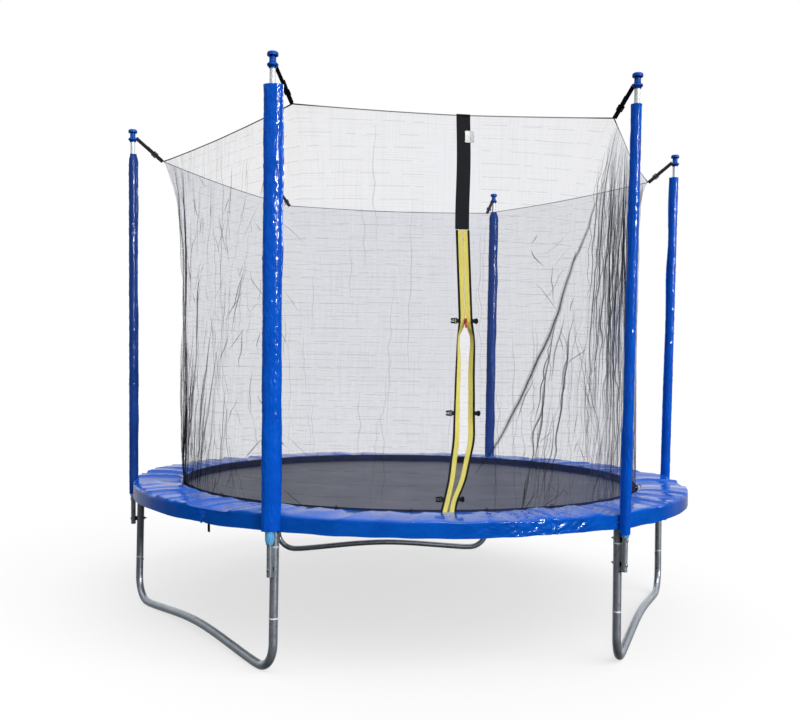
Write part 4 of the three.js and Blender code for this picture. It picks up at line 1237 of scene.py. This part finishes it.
def make_long_fold(shape):
    corners = np.array(LONG_FOLD)
    share = np.linspace(0, 1, 60)
    place_of = np.linspace(0, 1, len(corners))
    angles = np.interp(share, place_of, corners[:, 0])
    heights = np.interp(share, place_of, corners[:, 1])
    soft = np.ones(9) / 9
    inside = slice(4, -4)
    angles[inside] = np.convolve(angles, soft, "same")[inside]
    heights[inside] = np.convolve(heights, soft, "same")[inside]
    crease(shape, angles, heights, 0.030, 0.20)
    crease(shape, angles, heights, 0.011, 1.0)


PACKING_PITCH = 0.057
PACKING_HALF = 0.0016


def make_packing_lines(shape):
    """Faint broken level lines where the net was folded flat for packing: thin strips that thicken the net,
    darkened as painted shade along the crease.
    """
    rng = np.random.default_rng(8)
    last = DOOR_ANGLE + 354
    for height in np.arange(NET_BOTTOM + 0.08, NET_TOP - 0.03, PACKING_PITCH):
        start = DOOR_ANGLE + 6
        while start < last:
            length = rng.uniform(1.5, 8)
            angles = np.linspace(start, min(start + length, last), 6)
            line = np.full(len(angles), height) + 0.0015 * rng.normal(0, 1)
            base = billow(angles, line) + FOLD_PROUD
            rows = [net_point(angles, line + side * PACKING_HALF, base + (0 if side else 0.0015))
                    for side in (-1, 0, 1)]
            behind = 0.35 if 0 < start < 180 else 1.0
            strength = behind * (0.01 + 0.10 * rng.uniform() ** 2)
            # The weight thickens the net along the line and darkens it as painted shade.
            weight = np.tile([0.0, strength, 0.0], (len(angles), 1))
            shape.loft(np.stack(rows, 1), closed=False, slot=1, weight=weight)
            start += length + rng.uniform(0.3, 4)


HEM_HEIGHT = 0.005
BAND_HEIGHT = 0.037
HOOK_COUNT = 24


def make_net_hems(shape):
    """The narrow top hem and the opaque band at the net's foot."""
    angle = np.linspace(0, 360, 361)
    top = hem_height(angle)
    rolled = ((1, 0.001), (0.5, 0.0025), (0, 0.001), (0.5, -0.0015), (1, -0.0005))
    rings = np.stack([net_point(angle, top - HEM_HEIGHT * down, proud) for down, proud in rolled], 1)
    pulled = np.maximum(0.42, 0.85 * fade(near_corner(angle), 0.7, 1.0))
    pulled = np.where((angle > 180) & (angle < 240), 0.85, pulled)
    shape.loft(rings, closed=False, slot=1, weight=np.repeat(pulled[:, None], len(rolled), axis=1))
    heights = NET_BOTTOM + BAND_HEIGHT * np.linspace(0, 1, 5)[:, None]
    band = net_point(net_angles(heights, np.linspace(0, 1, 361)[None, :]), heights, -0.0015)
    shape.loft(band, closed=False, slot=1, weight=np.full(band.shape[:2], 0.98))


def at_foot(height):
    """1 at the net's lower edge, where the mat carries it, and 0 from 120 mm above it."""
    return fade(-height, -NET_BOTTOM - 0.12, -NET_BOTTOM)


def make_net():
    shape = Shape()
    make_net_cloth(shape)
    make_creases(shape)
    make_long_fold(shape)
    make_packing_lines(shape)
    make_net_hems(shape)
    net = shape.build("safety_net", [NET_MESH, NET_FOLD_SHADE_AND_HEMS], 180, outward=False)
    follow_bounce(net, ["net"], at_foot)
    return net


def make_hooks():
    """Small black hooks that hold the net's foot over the rim's inner edge."""
    turn = np.linspace(0, math.pi * 1.25, 12)
    bend = np.stack([NET_BOTTOM_RADIUS + 0.004 + 0.010 * (1 - np.cos(turn)), turn * 0,
                     PAD_TOP + 0.005 + 0.008 * np.sin(turn)], 1)
    start = [[NET_BOTTOM_RADIUS + 0.002, 0, PAD_TOP - 0.012]]
    hook = swept(np.concatenate([start, bend]), 0.0017, 8, (0, 1, 0))
    shape = Shape()
    for i in range(HOOK_COUNT):
        shape.loft(placed(hook, turned((i + 0.5) * 360 / HOOK_COUNT)), capped=True)
    shape.finish("net_hooks", BLACK_PLASTIC)


# ---------------------------------------------------------------- straps to the net's corners

STRAP_WIDTH = 0.020
STRAP_THICKNESS = 0.0022
LOOP_HEIGHT = 0.0225  # above the cap's foot
STRAP_TWIST = {1: 75, 2: 8, 3: 24, 4: -75, 5: -35, 6: 50}


def make_strap(n):
    """A narrow loop round the foot of the cap's waist, the strap to the net's corner, a ladder-lock buckle
    and a loose tail. The strap is twisted by some degrees about its own length."""
    parts = Shape()
    at_waist = pole_frame(n) @ Matrix.Translation((0, 0, POLE_LENGTH - CAP_LENGTH + LOOP_HEIGHT))
    loop = [[WAIST + out, up] for out, up in
            ((0.0005, -0.002), (0.0020, -0.002), (0.0020, 0.002), (0.0005, 0.002), (0.0005, -0.002))]
    parts.spin(loop, 32, at_waist, capped=False)
    spoke = turned(corner_angle(n))
    start = spoke.inverted() @ at_waist @ Vector((-WAIST - 0.003, 0, 0))
    closer = CLOSER if n == CLOSE_CORNER else 0
    end = Vector((NET_CORNER + 0.002 + closer, 0, NET_TOP - 0.004))
    length = (end - start).length
    direction = (end - start).normalized()
    twist = Matrix.Rotation(math.radians(STRAP_TWIST[n]), 3, direction)
    across = twist @ Vector((0, 1, 0))
    outward = across.cross(direction)
    lock_at = 0.70 * length
    tail = np.linspace(0, 0.055, 7)
    for distances, lift, width in (
        (np.linspace(0, length, 14), np.zeros(14), STRAP_WIDTH),
        (lock_at - tail, 0.003 + 0.05 * tail ** 0.8, STRAP_WIDTH * 0.95),
        (np.linspace(lock_at, lock_at + 0.05, 5), np.full(5, 0.0035), STRAP_WIDTH),
    ):
        path = [list(start + direction * d + outward * up) for d, up in zip(distances, lift)]
        parts.strap(path, across, outward, width, STRAP_THICKNESS, spoke)
    parts.finish(f"corner_strap_{n}", BLACK_WEBBING, [f"net_strap_{n}"])
    axes = Matrix((direction, across, outward)).transposed().to_4x4()
    make_ladder_lock(n, spoke @ Matrix.Translation(start + direction * lock_at) @ axes)


def make_ladder_lock(n, matrix):
    """Three bars between two side rails."""
    lock = Shape()
    for along, long, high in ((0.012, 0.004, 0.006), (0.0, 0.003, 0.005), (-0.011, 0.005, 0.007)):
        lock.plate(rectangle(long, high, along, 0.001), 0.030, 0.001, matrix)
    for side in (-0.014, 0.014):
        lock.plate(rectangle(0.028, 0.005, 0, 0.001), 0.004, 0.001, matrix @ Matrix.Translation((0, side, 0)))
    lock.finish(f"ladder_lock_{n}", BLACK_PLASTIC, smooth_angle=30)


# ---------------------------------------------------------------- door

def front_ribbon(x_low, x_high, heights, thickness=0.0026, proud=0.0):
    """A ribbon on the front of the net between two edges, each given as x for every height."""
    y = front_surface(heights) - proud
    low = np.stack([x_low, y, heights], 1)
    high = np.stack([x_high, y, heights], 1)
    lift = np.array([0, thickness / 2, 0])
    return np.stack([low - lift, high - lift, high + lift, low + lift], 1)


DOOR_BAND_HALF = 0.031
STITCH_INSET = 0.0025
TAG_WIDTH = 0.041
TAG_HEIGHT = 0.052
TAG_LEFT = 0.054
TAG_BOTTOM = 2.306


def make_door_band():
    """Black webbing above the zip."""
    x = tape_x(LEFT_TAPE, NET_TOP) / 2 + tape_x(RIGHT_TAPE, NET_TOP) / 2
    heights = np.linspace(ZIP_TOP + 0.002, NET_TOP - 0.010, 24)
    wave = 0.0022 * np.sin(heights * 12)
    band = Shape()
    band.loft(front_ribbon(x - DOOR_BAND_HALF + wave, x + DOOR_BAND_HALF + wave, heights, 0.003), capped=True)
    band.finish("door_webbing", BLACK_WEBBING, ["door_band"], smooth_angle=30)
    stitches = Shape()
    for side in (STITCH_INSET - DOOR_BAND_HALF, DOOR_BAND_HALF - STITCH_INSET):
        for z in np.arange(ZIP_TOP + 0.008, NET_TOP - 0.014, 0.006):
            run = np.linspace(z, z + 0.0038, 4)
            y = front_surface(run) - 0.0017 - 0.0004 * np.sin([0, 1.6, 2.2, 3.1])
            stitches.loft(swept(np.stack([np.full(4, x + side), y, run], 1), 0.00035, 5), capped=True)
    stitches.finish("door_stitches", BLACK_PLASTIC)


def make_tag():
    """The blank white tag sewn to the door's webbing."""
    tag = Shape()
    rows = np.linspace(TAG_BOTTOM, TAG_BOTTOM + TAG_HEIGHT, 9)
    flutter = 0.0012 * np.sin((rows - TAG_BOTTOM) * 70)
    left = np.full(9, TAG_LEFT)
    tag.loft(front_ribbon(left, left + TAG_WIDTH, rows, 0.0006, 0.0026 + flutter), capped=True)
    piece = tag.finish("blank_tag", TAG_CLOTH, smooth_angle=30)


TURNED_HEIGHT = SLIDER_HEIGHT - 0.070
COIL_PITCH = 0.0045
COIL_RADIUS = 0.0013


def tape_inner(tape, side, heights):
    """The inner edge of a tape: its x, and how far it is turned in towards the mat below the slider."""
    off = heights - TURNED_HEIGHT
    above = np.exp(-(np.maximum(off, 0) / 0.045) ** 2)
    below = 0.45 * fade(heights, 0.90, 1.20) + 0.55 * np.exp(-(np.minimum(off, 0) / 0.09) ** 2)
    turned_in = np.radians(58) * above * below
    outer = tape_x(tape, heights) + side * TAPE_WIDTH / 2
    return outer - side * TAPE_WIDTH * np.cos(turned_in), TAPE_WIDTH * np.sin(turned_in)


def tape_ripple(heights):
    """How far the loose tapes stand off the net's surface below the slider."""
    return 0.0012 * np.sin(heights * 33) * fade(-heights, -SLIDER_HEIGHT, -SLIDER_HEIGHT + 0.15)


def make_zip_tape(name, tape, side):
    """One tape of the zip, its U running from the zip outward."""
    heights = np.linspace(NET_BOTTOM + 0.006, ZIP_TOP, 120)
    outer = tape_x(tape, heights) + side * TAPE_WIDTH / 2
    inner, inward = tape_inner(tape, side, heights)
    rings = front_ribbon(inner, outer, heights, TAPE_THICKNESS, tape_ripple(heights))
    rings[:, [0, 3], 1] += inward[:, None]
    shape = Shape()
    shape.loft(rings, capped=True)
    shape.finish(f"tape_{name}", TAPE_CLOTH, [f"zip_tape_{name}"], smooth_angle=30)


def make_zip_coil(name, tape, side):
    """The row of coil teeth along a tape's inner edge."""
    turns = int((ZIP_TOP - NET_BOTTOM - 0.02) / COIL_PITCH)
    turn = np.linspace(0, 2 * math.pi * turns, turns * 5)
    z = np.linspace(NET_BOTTOM + 0.012, ZIP_TOP - 0.004, len(turn))
    inner, inward = tape_inner(tape, side, z)
    x = inner - side * 0.0004 + COIL_RADIUS * np.sin(turn)
    y = front_surface(z) - tape_ripple(z) + inward + COIL_RADIUS * np.cos(turn)
    coil = Shape()
    coil.loft(swept(np.stack([x, y, z], 1), 0.0006, 4), capped=True)
    coil.finish(f"zip_coil_{name}", TAPE_COIL)


SLIDER_X = 0.065
SLIDER_LEAN = math.atan2(-0.018, ZIP_TOP - SLIDER_HEIGHT)


def slider_frame():
    place_of = Matrix.Translation((SLIDER_X, float(front_surface(SLIDER_HEIGHT)), SLIDER_HEIGHT))
    return place_of @ Matrix.Rotation(SLIDER_LEAN, 4, "Y")


def make_slider():
    """The slider's two waisted plates, their bridge and the arch that holds the pull."""
    matrix = slider_frame()
    half = [(0.0045, -0.012), (0.0058, -0.004), (0.0068, 0.006), (0.0050, 0.012)]
    outline = [(-x, z) for x, z in half[:1]] + half + [(-x, z) for x, z in half[:0:-1]]
    slider = Shape()
    for y in (-0.0031, 0.0031):
        slider.plate(outline, 0.0019, 0.0006, matrix @ Matrix.Translation((0, y, 0)))
    slider.plate(rectangle(0.0016, 0.008, 0, 0.006), 0.0062, 0.0003, matrix)
    turn = np.linspace(0, math.pi, 13)
    arch = np.stack([turn * 0, -0.0036 - 0.0062 * np.sin(turn) ** 0.6, 0.0018 - 0.0056 * np.cos(turn)], 1)
    slider.loft(placed(swept(arch, 0.0008, 8, (1, 0, 0)), matrix), capped=True)
    slider.finish("slider_body", SLIDER_METAL, ["zip_slider"], "zip_slider", 30)


def make_pull():
    """The red pull: a window for the arch, a waist and a rounded grip with finger ridges."""
    matrix = slider_frame() @ Matrix.Translation((0, -0.0062, 0.002))
    wide = 0.0055
    turn = np.linspace(math.pi, 2 * math.pi, 9)
    end = [(wide * math.cos(a), -0.028 + wide * math.sin(a)) for a in turn]
    grip = [(-0.004, -0.008), (-0.004, -0.010), (-wide, -0.014), *end, (wide, -0.014), (0.004, -0.008)]
    pull = Shape()
    for x in (-0.0029, 0.0029):
        pull.plate(rectangle(0.0022, 0.010, x, -0.0035), 0.002, 0.0004, matrix)
    pull.plate(rectangle(0.0078, 0.0026, 0, 0.0002), 0.002, 0.0004, matrix)
    pull.plate(grip, 0.002, 0.0005, matrix)
    for z in np.linspace(-0.018, -0.028, 4):
        pull.plate(rectangle(0.0075, 0.0009, 0, z), 0.0027, 0.0003, matrix)
    pull.finish("pull_tab", RED_PLASTIC, ["zip_pull"], "zip_pull", 30)


BUCKLE_LEVELS = {"upper": SLIDER_HEIGHT, "middle": 1.110, "lower": 0.735}
BUCKLE_PROUD = 0.0056


def female_outline():
    turn = np.linspace(math.pi / 2, -math.pi / 2, 9)
    end = [(0.0175 + 0.008 * math.cos(a), 0.0125 * math.sin(a)) for a in turn]
    return [(0.009, -0.0105), (0.009, 0.0105), (0.013, 0.0125), *end, (0.013, -0.0125)]


def prong_outline(sign):
    """One of the two prongs: sign -1 is the lower one and 1 the upper one."""
    prong = [(0.020, sign * 0.0122), (0.020, sign * 0.0060), (0.030, sign * 0.0034), (0.038, sign * 0.0030),
             (0.038, sign * 0.0096), (0.031, sign * 0.0116)]
    return prong if sign < 0 else prong[::-1]


# Outlines with their thickness and bevel. The left half has the prongs.
LEFT_PLATES = [
    (rectangle(0.005, 0.026, 0.0115, 0), 0.0056, 0.001),
    (rectangle(0.005, 0.024, 0.019, 0), 0.0056, 0.001),
    (rectangle(0.010, 0.003, 0.015, -0.0115), 0.005, 0.0008),
    (rectangle(0.010, 0.003, 0.015, 0.0115), 0.005, 0.0008),
    (rectangle(0.014, 0.003, 0.028, 0), 0.0035, 0.0008),
    (prong_outline(-1), 0.0042, 0.0008),
    (prong_outline(1), 0.0042, 0.0008),
]
RIGHT_PLATES = [
    (female_outline(), 0.0060, 0.0012),
    (rectangle(0.008, 0.012, 0.0175, 0), 0.0076, 0.0008),
]


def make_buckle(level, side):
    """Half of a side-release buckle on its webbing tab."""
    height = BUCKLE_LEVELS[level]
    left = side == "left"
    tape = LEFT_TAPE if left else RIGHT_TAPE
    x = float(tape_x(tape, height)) + (-1 if left else 1) * (TAPE_WIDTH / 2 - 0.002)
    y = float(front_surface(height)) - BUCKLE_PROUD
    matrix = Matrix.Translation((x, y, height))
    if left:
        matrix = matrix @ turned(180)
    body = f"buckle_{side}_{level}"
    tab = Shape()
    for lift in (-0.0018, 0.0018):
        path = np.array([[along, lift, 0] for along in (-0.004, 0.002, 0.008, 0.0125)])
        tab.strap(path, (0, 0, 1), (0, 1, 0), 0.018, 0.0016, matrix)
    tab.finish(f"{body}_tab", BLACK_WEBBING, (), body, 30)
    half = Shape()
    for outline, thickness, bevel in LEFT_PLATES if left else RIGHT_PLATES:
        half.plate(outline, thickness, bevel, matrix)
    half.finish(f"{body}_half", BLACK_PLASTIC, [body], body, 30)


# ---------------------------------------------------------------- room and light

def make_floor():
    """A plain pale floor, far wider than the camera sees. It glows a little, so that shadows stay soft."""
    shape = Shape()
    reach = 60.0
    corners = np.linspace(-reach, reach, 3)
    shape.loft([[(x, y, -0.0005) for x in corners] for y in corners], closed=False)
    glow = {"Emission_Strength": 0.68, "Emission_Color": (1, 1, 1, 1)}
    paint = Finish("floor_paint", (0.25, 0.25, 0.25), 0.9, Specular_IOR_Level=0.0, **glow)
    paint.cloudy(0.8, 3, (0.245, 0.245, 0.247), (0.255, 0.255, 0.255))
    floor = shape.build("floor", paint.material)
    floor.visible_glossy = False
    floor.visible_diffuse = False


def make_world():
    """White behind the object. For its light, a pale sky behind and above it and a dark room in front."""
    world = bpy.data.worlds.new("studio")
    bpy.context.scene.world = world
    world.use_nodes = True
    sky = Nodes(world.node_tree)
    light = sky.tree.nodes["Background"]
    light.inputs["Strength"].default_value = 1.0
    split = sky.node("SeparateXYZ", Vector=sky.node("TexCoord").outputs["Generated"])
    low_sky = sky.ramp(split.outputs["Y"], 0.30, 0.90, 0.03, 0.88)
    overhead = sky.ramp(split.outputs["Z"], 0.35, 0.9)
    bright = sky.node("Mix", Factor=overhead, A=low_sky, B=0.85).outputs["Result"]
    below = sky.ramp(split.outputs["Z"], -0.12, 0.0, 0.45, 1.0)
    sky.put(light.inputs["Color"], sky.math("MULTIPLY", bright, below))
    plain = sky.node("Background", Color=(1, 1, 1, 1))
    seen = sky.node("LightPath").outputs["Is Camera Ray"]
    chosen = sky.node("MixShader", Fac=seen)
    sky.put(chosen.inputs[1], light.outputs[0])
    sky.put(chosen.inputs[2], plain.outputs[0])
    sky.put(sky.tree.nodes["World Output"].inputs["Surface"], chosen.outputs[0])


def make_sun(name, place_of, strength, spread_degrees, glossy):
    """A distant lamp: either a broad one that only lights, or a narrow one that is only seen as a gloss."""
    data = bpy.data.lights.new(name, "SUN")
    data.energy = strength
    data.angle = math.radians(spread_degrees)
    sun = bpy.data.objects.new(name, data)
    sun.rotation_euler = (-Vector(place_of)).to_track_quat("-Z", "Y").to_euler()
    sun.visible_glossy = glossy
    sun.visible_diffuse = not glossy
    bpy.context.scene.collection.objects.link(sun)


def make_studio():
    make_floor()
    make_world()
    make_sun("key_light", (4.0, -5.0, 4.5), 3.4, 60, False)
    make_sun("fill_light", (-4.0, -5.0, 4.5), 0.85, 80, False)
    make_sun("side_gloss", (4.0, -5.6, 1.4), 1.5, 6, True)
    make_sun("top_gloss", (0.6, -2.4, 5.0), 1.0, 12, True)
    scene = bpy.context.scene
    scene.view_settings.view_transform = "Standard"
    scene.cycles.transparent_max_bounces = 48


# ---------------------------------------------------------------- assembly

for number in range(1, POLE_COUNT + 1):
    make_rail(number)
    make_extension(number)
    make_pole(number)
    make_fixings(number)
    make_cap(number)
    make_sleeve(number)
    make_strap(number)
for number in range(1, 4):
    make_base_leg(number)
make_pad()
make_ties()
make_mat()
make_mat_hem()
make_springs()
safety_net = make_net()
make_hooks()
make_door_band()
make_tag()
for tape_name, tape_line, tape_side in (("left", LEFT_TAPE, -1), ("right", RIGHT_TAPE, 1)):
    make_zip_tape(tape_name, tape_line, tape_side)
    make_zip_coil(tape_name, tape_line, tape_side)
make_slider()
make_pull()
for level_name in BUCKLE_LEVELS:
    make_buckle(level_name, "left")
    make_buckle(level_name, "right")
make_studio()
